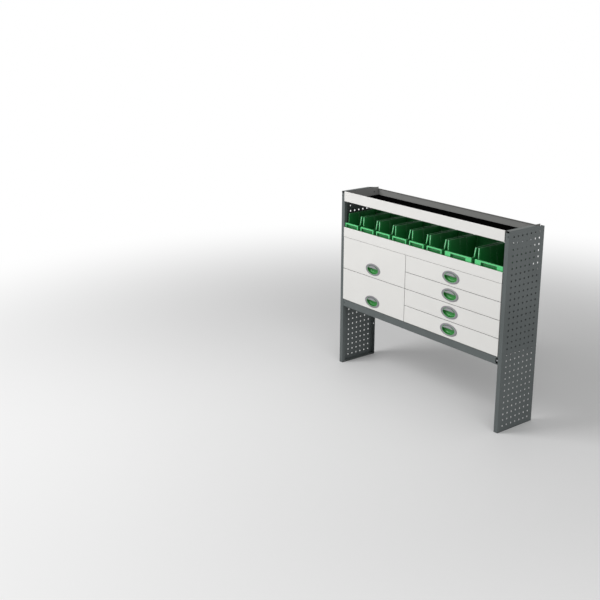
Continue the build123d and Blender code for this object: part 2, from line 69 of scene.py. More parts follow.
MM = 0.001
NEAR = 0.01 * MM
PITCH = 38 * MM
PUNCHED = 10 * MM
BOLT_HOLE = 6.8 * MM
FLAT_ANGLE = 0.5
FOLD_ANGLE = 30.0
CORNER_ANGLE = 35.0
ROUND_SIDES = 32
ROOT = "frame"
RECORD = frame["record"]
log = logging.getLogger("racking")

Colour = tuple[float, float, float]
Station = tuple[float, float, float]
Choice = Callable[[Vector], bool]
Mesh = bmesh.types.BMesh
Corner = bmesh.types.BMVert
Edge = bmesh.types.BMEdge
Piece = bpy.types.Object
Socket = bpy.types.NodeSocket


class Axis(Enum):
    """A direction of the shared frame."""

    X = (1.0, 0.0, 0.0)
    Y = (0.0, 1.0, 0.0)
    Z = (0.0, 0.0, 1.0)

    @property
    def vector(self) -> Vector:
        """The direction as a vector."""
        return Vector(self.value)


def paint(red: int, green: int, blue: int) -> Colour:
    """Turns a colour as a screen shows it, 0 to 255, into the linear one that shaders use.

    Args:
        red, green, blue: the screen colour's parts.

    Returns:
        The linear colour.
    """
    shares = [part / 255 for part in (red, green, blue)]
    return tuple(s / 12.92 if s <= 0.04045 else ((s + 0.055) / 1.055) ** 2.4 for s in shares)


class Box:
    """The box of a CAD node at rest, in metres."""

    def __init__(self, node: str) -> None:
        """Reads the node's box.

        Args:
            node: the CAD node's name.
        """
        self.low, self.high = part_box(node)

    @property
    def size(self) -> Vector:
        """Length of each side."""
        return self.high - self.low

    @property
    def middle(self) -> Vector:
        """Centre of the box."""
        return (self.high + self.low) / 2


# Choices of points


def at(axis: Axis, place: float) -> Choice:
    """Chooses the points at a place along an axis."""
    return lambda point: abs(point.dot(axis.vector) - place) < NEAR


def up_to(axis: Axis, place: float) -> Choice:
    """Chooses the points before a place along an axis, or at it."""
    return lambda point: point.dot(axis.vector) < place + NEAR


def within(axis: Axis, low: float, high: float) -> Choice:
    """Chooses the points from one place to another along an axis."""
    return lambda point: low - NEAR < point.dot(axis.vector) < high + NEAR


def all_of(*choices: Choice) -> Choice:
    """Chooses the points that every given choice takes."""
    return lambda point: all(choice(point) for choice in choices)


def any_of(*choices: Choice) -> Choice:
    """Chooses the points that at least one given choice takes."""
    return lambda point: any(choice(point) for choice in choices)


# Mesh tools


def corners_of(made: Iterable[object]) -> list[Corner]:
    """Picks the corners out of what an operator made."""
    return [part for part in made if isinstance(part, Corner)]


def edges_among(mesh: Mesh, corners: Iterable[Corner]) -> list[Edge]:
    """Finds the edges whose two ends are both among the given corners."""
    ends = set(corners)
    return [e for e in mesh.edges if all(v in ends for v in e.verts)]


def facing_front(middle: Vector, place: float) -> Matrix:
    """Stands a flat shape upright, square to Y, about a middle at a place along Y."""
    return Matrix.Translation((middle.x, place, middle.z)) @ Matrix.Rotation(math.pi / 2, 4, "X")


def extrude_edges(mesh: Mesh, chosen: Choice, shift: Sequence[float]) -> list[Corner]:
    """Pulls new faces out of the open edges whose two ends are both chosen.

    Args:
        mesh: the mesh to work on.
        chosen: says of a corner whether it takes part.
        shift: how far the new edges move, in metres.

    Returns:
        The new corners.
    """
    edges = [e for e in mesh.edges if e.is_boundary and all(chosen(v.co) for v in e.verts)]
    corners = corners_of(bmesh.ops.extrude_edge_only(mesh, edges=edges)["geom"])
    bmesh.ops.translate(mesh, verts=corners, vec=Vector(shift))
    return corners


def slice_faces(mesh: Mesh, chosen: Choice, point: Vector, normal: Vector) -> None:
    """Cuts a new line of edges through the faces whose middles are chosen.

    Args:
        mesh: the mesh to work on.
        chosen: says of a face's middle whether the face is cut.
        point: a point of the cutting plane.
        normal: the plane's normal.
    """
    faces = [f for f in mesh.faces if chosen(f.calc_center_median())]
    edges = {e for f in faces for e in f.edges}
    corners = {v for f in faces for v in f.verts}
    bmesh.ops.bisect_plane(
        mesh, geom=[*faces, *edges, *corners], dist=NEAR, plane_co=point, plane_no=normal
    )


def round_edges(mesh: Mesh, edges: Iterable[Edge], radius: float, steps: int = 3) -> None:
    """Rounds the given edges.

    Args:
        mesh: the mesh to work on.
        edges: the edges to round.
        radius: the rounding, in metres.
        steps: how many faces make it.
    """
    bmesh.ops.bevel(
        mesh,
        geom=list(edges),
        offset=radius,
        offset_type="OFFSET",
        segments=steps,
        profile=0.5,
        affect="EDGES",
        clamp_overlap=True,
        material=-1,
    )


def folds(mesh: Mesh, least: float = FOLD_ANGLE) -> list[Edge]:
    """Finds the edges where two faces meet at more than an angle.

    Args:
        mesh: the mesh to look at.
        least: the angle, in degrees.

    Returns:
        The edges found.
    """
    limit = math.radians(least)
    return [e for e in mesh.edges if len(e.link_faces) == 2 and e.calc_face_angle(0.0) > limit]


def folded_run(
    profile: Sequence[tuple[float, float]], low: float, high: float, bend: float
) -> Mesh:
    """Makes a folded sheet without thickness: a profile in Y and Z, drawn out along X.

    Args:
        profile: the corners of the outer face, as (y, z).
        low, high: where the sheet starts and ends along X.
        bend: the outer radius of each fold.

    Returns:
        The open mesh, with its faces turned away from the profile's left side.
    """
    mesh = bmesh.new()
    line = [mesh.verts.new((low, y, z)) for y, z in profile]
    for first, second in zip(line, line[1:]):
        mesh.edges.new((first, second))
    corners = corners_of(bmesh.ops.extrude_edge_only(mesh, edges=mesh.edges[:])["geom"])
    bmesh.ops.translate(mesh, verts=corners, vec=Vector((high - low, 0, 0)))
    bmesh.ops.recalc_face_normals(mesh, faces=mesh.faces[:])
    round_edges(mesh, folds(mesh), bend)
    return mesh


def face_away(mesh: Mesh, towards: Vector, chosen: Choice | None = None) -> None:
    """Turns the whole mesh over if its chosen faces don't look the stated way.

    Args:
        mesh: the mesh to turn.
        towards: where the chosen faces have to look.
        chosen: says of a face's middle whether it counts; None takes every face.
    """
    faces = [f for f in mesh.faces if chosen is None or chosen(f.calc_center_median())]
    seen = sum((f.normal * f.calc_area() for f in faces), Vector())
    if seen.dot(towards) < 0:
        bmesh.ops.reverse_faces(mesh, faces=mesh.faces[:])


def ellipse_loop(mesh: Mesh, centre: Vector, station: Station, count: int) -> list[Edge]:
    """Adds one upright oval loop, square to Y.

    Args:
        mesh: the mesh to add to.
        centre: the oval's middle; its Y is replaced by the station's.
        station: half width, half height and place along Y.
        count: corners in the loop.

    Returns:
        The loop's edges.
    """
    half_wide, half_high, place = station
    lay = facing_front(centre, place) @ Matrix.Diagonal((half_wide, half_high, 1, 1))
    ring = bmesh.ops.create_circle(mesh, segments=count, radius=1, matrix=lay)["verts"]
    return edges_among(mesh, ring)


def oval_loft(centre: Vector, stations: Sequence[Station], closed: bool, count: int = 96) -> Mesh:
    """Skins a row of oval loops.

    Args:
        centre: the ovals' middle.
        stations: the loops in order.
        closed: True to join the last loop to the first, False to cap both ends.
        count: corners in each loop.

    Returns:
        The closed mesh.
    """
    mesh = bmesh.new()
    start = ellipse_loop(mesh, centre, stations[0], count)
    rim = start
    run = [*stations, stations[0]] if closed else stations
    for before, after in zip(run, run[1:]):
        ring = corners_of(bmesh.ops.extrude_edge_only(mesh, edges=rim)["geom"])
        rim = edges_among(mesh, ring)
        for corner in ring:
            corner.co.x = centre.x + (corner.co.x - centre.x) * after[0] / before[0]
            corner.co.z = centre.z + (corner.co.z - centre.z) * after[1] / before[1]
            corner.co.y = after[2]
    if closed:
        bmesh.ops.remove_doubles(mesh, verts=mesh.verts[:], dist=NEAR)
    else:
        for end in (start, rim):
            bmesh.ops.contextual_create(mesh, geom=end)
    bmesh.ops.recalc_face_normals(mesh, faces=mesh.faces[:])
    return mesh


def add_block(mesh: Mesh, low: Vector, high: Vector, rounding: float, steps: int = 2) -> None:
    """Adds a box with rounded edges to a mesh.

    Args:
        mesh: the mesh to add to.
        low, high: the box's corners.
        rounding: radius of its edges.
        steps: faces in the rounding.
    """
    size = high - low
    place = Matrix.Translation((low + high) / 2) @ Matrix.Diagonal((*size, 1))
    block = bmesh.ops.create_cube(mesh, size=1, matrix=place)["verts"]
    round_edges(mesh, edges_among(mesh, block), rounding, steps)


def join(target: Mesh, source: Mesh) -> None:
    """Adds one mesh to another and frees it."""
    held = bpy.data.meshes.new("held")
    source.to_mesh(held)
    source.free()
    target.from_mesh(held)
    bpy.data.meshes.remove(held)


def bare_copy(node: str) -> Mesh:
    """Makes a merged copy of a CAD node without the edges that cross its flat faces."""
    mesh = bmesh.new()
    mesh.from_mesh(frame["nodes"][node].data)
    bmesh.ops.remove_doubles(mesh, verts=mesh.verts[:], dist=NEAR)
    bmesh.ops.dissolve_limit(
        mesh, angle_limit=math.radians(FLAT_ANGLE), verts=mesh.verts[:], edges=mesh.edges[:]
    )
    return mesh


def copy_of(node: str, rounding: float, steps: int = 2) -> Mesh:
    """Makes a merged copy of a CAD node with its edges rounded.

    Args:
        node: the CAD node's name.
        rounding: radius of the edges, in metres.
        steps: faces in the rounding.

    Returns:
        The copy.
    """
    mesh = bare_copy(node)
    round_edges(mesh, folds(mesh, CORNER_ANGLE), rounding, steps)
    return mesh


def keep_modifiers(piece: Piece) -> None:
    """Turns a piece's modifiers into its mesh."""
    graph = bpy.context.evaluated_depsgraph_get()
    mesh = bpy.data.meshes.new_from_object(piece.evaluated_get(graph))
    piece.modifiers.clear()
    piece.data = mesh


def thicken(piece: Piece, sheet: float) -> None:
    """Gives an open mesh its thickness, on the side away from its normals."""
    solid = piece.modifiers.new("thickness", "SOLIDIFY")
    solid.thickness = sheet
    solid.offset = -1
    solid.use_even_offset = True
    solid.use_quality_normals = True
    keep_modifiers(piece)


@dataclass
class Hole:
    """A hole through sheet: round, or square with the given half width."""

    middle: Vector
    way: Vector
    radius: float
    square: bool = False

    def cutter(self, mesh: Mesh, length: float) -> None:
        """Adds the hole's cutter to a mesh."""
        sides = 4 if self.square else ROUND_SIDES
        reach = self.radius / math.cos(math.pi / sides)
        turn = Axis.Z.vector.rotation_difference(self.way).to_matrix().to_4x4()
        flat = Matrix.Rotation(math.pi / sides, 4, "Z")
        bmesh.ops.create_cone(
            mesh,
            cap_ends=True,
            segments=sides,
            radius1=reach,
            radius2=reach,
            depth=length,
            matrix=Matrix.Translation(self.middle) @ turn @ flat,
        )


def drill(piece: Piece, holes: Sequence[Hole], length: float) -> None:
    """Cuts holes in a piece with cutters of one length."""
    tool = bmesh.new()
    for hole in holes:
        hole.cutter(tool, length)
    mesh = bpy.data.meshes.new("drill")
    tool.to_mesh(mesh)
    tool.free()
    cutter = bpy.data.objects.new("drill", mesh)
    bpy.context.scene.collection.objects.link(cutter)
    cut = piece.modifiers.new("holes", "BOOLEAN")
    cut.operation = "DIFFERENCE"
    cut.solver = "EXACT"
    cut.object = cutter
    keep_modifiers(piece)
    bpy.data.objects.remove(cutter)


def make_object(mesh: Mesh, name: str) -> Piece:
    """Turns a finished mesh into an object at the origin."""
    data = bpy.data.meshes.new(name)
    mesh.to_mesh(data)
    mesh.free()
    piece = bpy.data.objects.new(name, data)
    bpy.context.scene.collection.objects.link(piece)
    return piece


# Shader tools


class Board:
    """Adds shader nodes to one tree and joins them."""

    def __init__(self, tree: bpy.types.NodeTree) -> None:
        """Starts on a tree.

        Args:
            tree: the node tree to build in.
        """
        self.tree = tree

    def add(self, kind: str, **settings: object) -> bpy.types.Node:
        """Adds a node.

        Args:
            kind: the node's type without its ShaderNode prefix.
            settings: attributes to set on it.

        Returns:
            The node.
        """
        node = self.tree.nodes.new("ShaderNode" + kind)
        for name, value in settings.items():
            setattr(node, name, value)
        return node

    def join(self, source: Socket, target: Socket) -> None:
        """Links one socket to another."""
        self.tree.links.new(source, target)

    def feed(self, node: bpy.types.Node, name: str, value: object) -> None:
        """Links a socket to a node's input, or sets a plain value there."""
        if isinstance(value, Socket):
            self.join(value, node.inputs[name])
        else:
            node.inputs[name].default_value = value

    def sum(self, kind: str, first: object, second: object, clamp: bool = False) -> Socket:
        """Adds a Math node.

        Args:
            kind: the Math node's operation.
            first, second: sockets or numbers.
            clamp: True to keep the result from 0 to 1.

        Returns:
            The result's socket.
        """
        node = self.add("Math", operation=kind, use_clamp=clamp)
        for place, value in enumerate((first, second)):
            if isinstance(value, Socket):
                self.join(value, node.inputs[place])
            else:
                node.inputs[place].default_value = value
        return node.outputs[0]

    def ramp(
        self, value: Socket, low: float, high: float, out_low: float, out_high: float
    ) -> Socket:
        """Maps a value from one range to another, smoothly and clamped.

        Args:
            value: the socket to map.
            low, high: the range it comes in.
            out_low, out_high: the range it leaves in.

        Returns:
            The result's socket.
        """
        node = self.add("MapRange", interpolation_type="SMOOTHSTEP")
        self.join(value, node.inputs["Value"])
        for name, number in (
            ("From Min", low),
            ("From Max", high),
            ("To Min", out_low),
            ("To Max", out_high),
        ):
            node.inputs[name].default_value = number
        return node.outputs["Result"]

    def blend(self, share: object, first: object, second: object) -> Socket:
        """Mixes two colours.

        Args:
            share: how much of the second, a socket or a number.
            first, second: sockets or colours.

        Returns:
            The mixed colour's socket.
        """
        node = self.add("Mix", data_type="RGBA")
        for name, value in (("Factor_Float", share), ("A_Color", first), ("B_Color", second)):
            socket = next(s for s in node.inputs if s.identifier == name)
            if isinstance(value, Socket):
                self.join(value, socket)
            else:
                socket.default_value = (*value, 1) if isinstance(value, tuple) else value
        return next(s for s in node.outputs if s.identifier == "Result_Color")

    def place(self) -> Socket:
        """The place of each point in its piece."""
        return self.add("TexCoord").outputs["Object"]

    def noise(self, place: Socket, scale: object, detail: float) -> Socket:
        """Adds a noise.

        Args:
            place: the places that it reads.
            scale: its fineness, a socket or a number.
            detail: how many finer layers it has.

        Returns:
            The socket of its value.
        """
        node = self.add("TexNoise")
        node.inputs["Detail"].default_value = detail
        self.join(place, node.inputs["Vector"])
        self.feed(node, "Scale", scale)
        return node.outputs["Fac"]


class Effect:
    """A shader node group that more than one finish places with its own values."""

    name = "effect"
    inputs: dict[str, float] = {}
    outputs: tuple[str, ...] = ()

    def __init__(self) -> None:
        """Builds the group once."""
        self.tree = bpy.data.node_groups.new(self.name, "ShaderNodeTree")
        for name, value in self.inputs.items():
            socket = self.new_socket(name, "INPUT")
            socket.default_value = value
        for name in self.outputs:
            self.new_socket(name, "OUTPUT")
        board = Board(self.tree)
        source = self.tree.nodes.new("NodeGroupInput")
        sink = self.tree.nodes.new("NodeGroupOutput")
        for name, socket in self.wire(board, source.outputs).items():
            board.join(socket, sink.inputs[name])

    def new_socket(self, name: str, way: str) -> bpy.types.NodeTreeInterfaceSocket:
        """Adds a socket to the group's interface."""
        sockets = self.tree.interface
        return sockets.new_socket(name, in_out=way, socket_type="NodeSocketFloat")

    def wire(self, board: Board, given: bpy.types.NodeOutputs) -> dict[str, Socket]:
        """Builds the inside of the group.

        Args:
            board: where nodes are added.
            given: the group's inputs.

        Returns:
            The socket behind each output.
        """
        raise NotImplementedError

    def place(self, board: Board, **values: object) -> bpy.types.NodeOutputs:
        """Puts the group into a material.

        Args:
            board: the material's board.
            values: the group's inputs.

        Returns:
            The group node's outputs.
        """
        node = board.tree.nodes.new("ShaderNodeGroup")
        node.node_tree = self.tree
        for name, value in values.items():
            board.feed(node, name.replace("_", " "), value)
        return node.outputs


class EdgeWearAndHighlight(Effect):
    """Masks outer edges, broken up by noise: rubbed wear and a painted edge highlight."""

    name = "edge wear"
    inputs = {"Radius": 0.001, "Reach": 0.2, "Breakup": 90.0}
    outputs = ("Mask",)
    samples = 4
    detail = 4
    patches = (0.35, 0.62, 0.25, 1.0)

    def wire(self, board: Board, given: bpy.types.NodeOutputs) -> dict[str, Socket]:
        """Compares the rounded normal with the true one."""
        rounded = board.add("Bevel", samples=self.samples)
        board.join(given["Radius"], rounded.inputs["Radius"])
        true_way = board.add("NewGeometry")
        dot = board.add("VectorMath", operation="DOT_PRODUCT")
        board.join(rounded.outputs["Normal"], dot.inputs[0])
        board.join(true_way.outputs["Normal"], dot.inputs[1])
        turned_by = board.sum("SUBTRACT", 1.0, dot.outputs["Value"], True)
        share = board.sum("DIVIDE", turned_by, given["Reach"], True)
        noise = board.noise(board.place(), given["Breakup"], self.detail)
        broken = board.ramp(noise, *self.patches)
        return {"Mask": board.sum("MULTIPLY", share, broken, True)}


class PaintedShade(Effect):
    """Tells how open a point is, so that seams, corners and recesses get painted shade."""

    name = "painted_crevice_shade"
    inputs = {"Distance": 0.01, "Onset": 0.8, "Depth": 0.6}
    outputs = ("Share",)
    samples = 8

    def wire(self, board: Board, given: bpy.types.NodeOutputs) -> dict[str, Socket]:
        """Takes the closed share of the near surroundings, sharpened and scaled, as the painted
        shade's share.
        """
        near = board.add("AmbientOcclusion", samples=self.samples)
        board.join(given["Distance"], near.inputs["Distance"])
        short = board.sum("SUBTRACT", given["Onset"], near.outputs["AO"], True)
        closed = board.sum("DIVIDE", short, given["Onset"], True)
        return {"Share": board.sum("MULTIPLY", closed, given["Depth"], True)}


class Dust(Effect):
    """Masks level surfaces where dust settles."""

    name = "settled dust"
    inputs = {"Scale": 9.0}
    outputs = ("Mask",)
    detail = 5
    levels = (0.55, 0.95, 0.0, 1.0)
    patches = (0.35, 0.7, 0.3, 1.0)

    def wire(self, board: Board, given: bpy.types.NodeOutputs) -> dict[str, Socket]:
        """Takes the upward share of the normal and breaks it up."""
        way = board.add("NewGeometry")
        parts = board.add("SeparateXYZ")
        board.join(way.outputs["Normal"], parts.inputs[0])
        upward = board.ramp(parts.outputs["Z"], *self.levels)
        noise = board.noise(board.place(), given["Scale"], self.detail)
        patchy = board.ramp(noise, *self.patches)
        return {"Mask": board.sum("MULTIPLY", upward, patchy, True)}


class Grain(Effect):
    """Fine relief of a coating or a mould, with a slow change of tone."""

    name = "fine grain"
    inputs = {"Scale": 900.0, "Drift": 5.0}
    outputs = ("Height", "Tone")
    fine_detail = 2
    slow_detail = 3
    tones = (0.3, 0.7, 0.0, 1.0)

    def wire(self, board: Board, given: bpy.types.NodeOutputs) -> dict[str, Socket]:
        """Adds a fine noise to a slow one."""
        place = board.place()
        fine = board.noise(place, given["Scale"], self.fine_detail)
        slow = board.noise(place, given["Drift"], self.slow_detail)
        return {"Height": fine, "Tone": board.ramp(slow, *self.tones)}


class Brushing(Effect):
    """Fine lines along one direction, as rolled and plated steel has."""

    name = "rolled lines"
    inputs = {"Scale": 700.0}
    outputs = ("Height", "Tone")
    detail = 3
    stretch = 0.03
    spangles = 160

    def wire(self, board: Board, given: bpy.types.NodeOutputs) -> dict[str, Socket]:
        """Stretches a noise along Y."""
        place = board.place()
        stretch = board.add("Mapping")
        stretch.inputs["Scale"].default_value = (1, self.stretch, 1)
        board.join(place, stretch.inputs["Vector"])
        lines = board.noise(stretch.outputs["Vector"], given["Scale"], self.detail)
        spangle = board.add("TexVoronoi")
        spangle.inputs["Scale"].default_value = self.spangles
        board.join(place, spangle.inputs["Vector"])
        return {"Height": lines, "Tone": spangle.outputs["Distance"]}


@dataclass(frozen=True)
class Effects:
    """The shared effects, built once."""

    wear_and_highlight: EdgeWearAndHighlight
    painted_shade: PaintedShade
    dust: Dust
    grain: Grain
    brushing: Brushing


DUST_SCALE = 9.0
DRIFT_SCALE = 5.0
BUMP_STRENGTH = 0.6
COAT_ROUGHNESS = 0.18
GLOW_RADIUS = (0.3, 1.0, 0.4)
GLOW_DEPTH = 3 * MM


@dataclass(frozen=True)
class Finish:
    """A coat of paint or a moulded surface.

    The slot is the record's name for it. Grain, relief, edge radius and reach are in millimetres.
    The edge colour serves rubbed wear and a painted highlight on lit edges. Shade is how much
    painted shade darkens crevices and recesses, and onset the openness below which it does. Deep
    and purity set the painted shade's colour, and proud keeps worn, highlit edges free of it.
    """

    slot: str
    colour: Colour
    edge: Colour
    roughness: float
    swing: float = 0.08
    tone: float = 0.06
    grain: float = 1.2
    relief: float = 0.05
    wear_and_highlight: float = 0.5
    wear_and_highlight_radius: float = 1.0
    dust: float = 0.12
    dust_colour: Colour = (0.52, 0.5, 0.46)
    coat: float = 0.0
    metal: float = 0.0
    glow: float = 0.0
    shine: float = 0.5
    reach: float = 14.0
    shade: float = 0.7
    onset: float = 0.85
    deep: float = 0.12
    purity: float = 1.0
    proud: float = 0.0

    def relief_of(self, board: Board, effects: Effects) -> bpy.types.NodeOutputs:
        """The height and tone of the surface."""
        return effects.grain.place(board, Scale=1 / (self.grain * MM), Drift=DRIFT_SCALE)

    def material(self, effects: Effects) -> bpy.types.Material:
        """Builds the material.

        Args:
            effects: the shared node groups.

        Returns:
            The material.
        """
        made = bpy.data.materials.new(self.slot)
        made.use_nodes = True
        board = Board(made.node_tree)
        shader = made.node_tree.nodes["Principled BSDF"]
        surface = self.relief_of(board, effects)
        # Edge mask: rubbed wear and a painted highlight on lit edges.
        worn_and_highlit = effects.wear_and_highlight.place(board, Radius=self.wear_and_highlight_radius * MM)["Mask"]
        settled = effects.dust.place(board, Scale=DUST_SCALE)["Mask"]
        darker = tuple(part * (1 - self.tone) for part in self.colour)
        toned = board.blend(surface["Tone"], self.colour, darker)
        edged = board.blend(board.sum("MULTIPLY", worn_and_highlit, self.wear_and_highlight), toned, self.edge)
        dusty = board.sum("MULTIPLY", settled, self.dust)
        open_tone = board.blend(dusty, edged, self.dust_colour)
        # Painted shade: ambient occlusion darkens seams, corners, recesses and bin insides toward
        # the deep colour.
        closed = effects.painted_shade.place(
            board, Distance=self.reach * MM, Onset=self.onset, Depth=self.shade
        )["Share"]
        # Worn and highlit edges stay partly free of the painted shade.
        open_edge = board.sum("SUBTRACT", 1.0, board.sum("MULTIPLY", worn_and_highlit, self.proud))
        painted_shade_colour = tuple(self.deep * part**self.purity for part in self.colour)
        shaded = board.blend(board.sum("MULTIPLY", closed, open_edge), open_tone, painted_shade_colour)
        board.join(shaded, shader.inputs["Base Color"])
        half = self.swing / 2
        rough = board.ramp(surface["Tone"], 0.0, 1.0, self.roughness - half, self.roughness + half)
        board.join(board.sum("ADD", rough, dusty, True), shader.inputs["Roughness"])
        bump = board.add("Bump")
        bump.inputs["Strength"].default_value = BUMP_STRENGTH
        bump.inputs["Distance"].default_value = self.relief * MM
        board.join(surface["Height"], bump.inputs["Height"])
        board.join(bump.outputs["Normal"], shader.inputs["Normal"])
        for name, value in (
            ("Metallic", self.metal),
            ("Specular IOR Level", self.shine),
            ("Coat Weight", self.coat),
            ("Coat Roughness", COAT_ROUGHNESS),
            ("Subsurface Weight", self.glow),
            ("Subsurface Radius", GLOW_RADIUS),
            ("Subsurface Scale", GLOW_DEPTH),
        ):
            shader.inputs[name].default_value = value
        return made


@dataclass(frozen=True)
class ZincPlate(Finish):
    """Bright plated steel with rolled lines."""

    def relief_of(self, board: Board, effects: Effects) -> bpy.types.NodeOutputs:
        """The height and tone of the plate."""
        return effects.brushing.place(board, Scale=1 / (self.grain * MM))


# Each finish's reach, shade, onset, deep and purity set its painted shade; its edge colour is
# rubbed wear and a painted highlight.
PANEL = Finish("panel_grey", paint(84, 91, 91), paint(134, 142, 142), 0.42, coat=0.15)
TRAY = Finish("tray_grey", paint(138, 138, 136), paint(176, 177, 175), 0.45, coat=0.1, shade=0.3)
# The white's painted shade darkens the seams between the fronts.
WHITE = Finish(
    "white_steel",
    paint(223, 222, 219),
    paint(236, 235, 232),
    0.38,
    tone=0.02,
    dust=0.05,
    coat=0.2,
    shade=0.85,
)
DRAWER = Finish("drawer_steel", paint(112, 118, 118), paint(160, 165, 165), 0.42)
MAT = Finish(
    "mat_rubber", paint(5, 5, 5), paint(9, 9, 9), 0.9, grain=0.8, relief=0.12, dust=0.0, shine=0.0
)
BEZEL = Finish(
    "bezel_grey", paint(134, 133, 137), paint(164, 164, 168), 0.45, grain=0.5, wear_and_highlight_radius=0.8
)
LEVER = Finish("lever_grey", paint(140, 142, 144), paint(168, 171, 173), 0.4, grain=0.5, coat=0.1)
# The cup's painted shade darkens the bowl's hollow; its edge colour is a painted highlight on the
# rim.
CUP = Finish(
    "cup_green",
    paint(64, 196, 84),
    paint(120, 205, 150),
    0.45,
    grain=0.5,
    coat=0.05,
    reach=60.0,
    shade=1.9,
    onset=0.8,
    deep=0.16,
    purity=1.4,
)
# The bin's full-strength edge colour is a painted highlight on the lit front edges; its painted
# shade darkens the insides and label windows.
BIN = Finish(
    "bin_green",
    paint(84, 206, 126),
    paint(222, 255, 234),
    0.42,
    grain=0.6,
    wear_and_highlight=1.0,
    wear_and_highlight_radius=3.6,
    dust=0.0,
    coat=0.05,
    glow=0.05,
    reach=260.0,
    shade=4.2,
    onset=0.84,
    deep=0.4,
    purity=1.4,
    proud=0.5,
)
ZINC = ZincPlate(
    "zinc", paint(196, 198, 202), paint(226, 228, 230), 0.32, grain=0.4, metal=1.0, tone=0.12
)
FINISHES = (PANEL, TRAY, WHITE, DRAWER, MAT, BEZEL, LEVER, CUP, BIN, ZINC)


class Workshop:
    """Dresses pieces: material, shading, slot, body and the CAD nodes that they stand for."""

    def __init__(self) -> None:
        """Builds the shared effects and every finish."""
        effects = Effects(EdgeWearAndHighlight(), PaintedShade(), Dust(), Grain(), Brushing())
        self.materials = {finish.slot: finish.material(effects) for finish in FINISHES}
        self.body_of = {
            node: body for body, nodes in RECORD["behaviour"]["bodies"].items() for node in nodes
        }

    def dress(
        self, piece: Piece, node: str, finish: Finish, angle: float = CORNER_ANGLE
    ) -> Piece:
        """Finishes a piece that stands for a CAD node.

        Args:
            piece: the new piece, at the origin.
            node: the CAD node that it replaces.
            finish: its finish.
            angle: edges sharper than this stay sharp, in degrees.

        Returns:
            The piece.
        """
        self.attach(piece, self.body_of[node], finish, angle)
        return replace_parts(piece, node)

    def attach(
        self, piece: Piece, body: str, finish: Finish, angle: float = CORNER_ANGLE
    ) -> Piece:
        """Finishes a piece that rides on a body.

        Args:
            piece: the new piece, at the origin.
            body: the body that carries it.
            finish: its finish.
            angle: edges sharper than this stay sharp, in degrees.

        Returns:
            The piece.
        """
        piece.data.shade_smooth()
        piece.data.set_sharp_from_angle(angle=math.radians(angle))
        even = piece.modifiers.new("even shading", "WEIGHTED_NORMAL")
        even.keep_sharp = True
        even.weight = 50
        keep_modifiers(piece)
        piece.data.materials.clear()
        piece.data.materials.append(self.materials[finish.slot])
        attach(piece, body)
        log.info("%s: %d faces", piece.name, len(piece.data.polygons))
        return piece


# Sub-assemblies


def punched_along(length: float) -> int:
    """Counts the perforations that fit along a length."""
    return int(length / PITCH - 0.5)


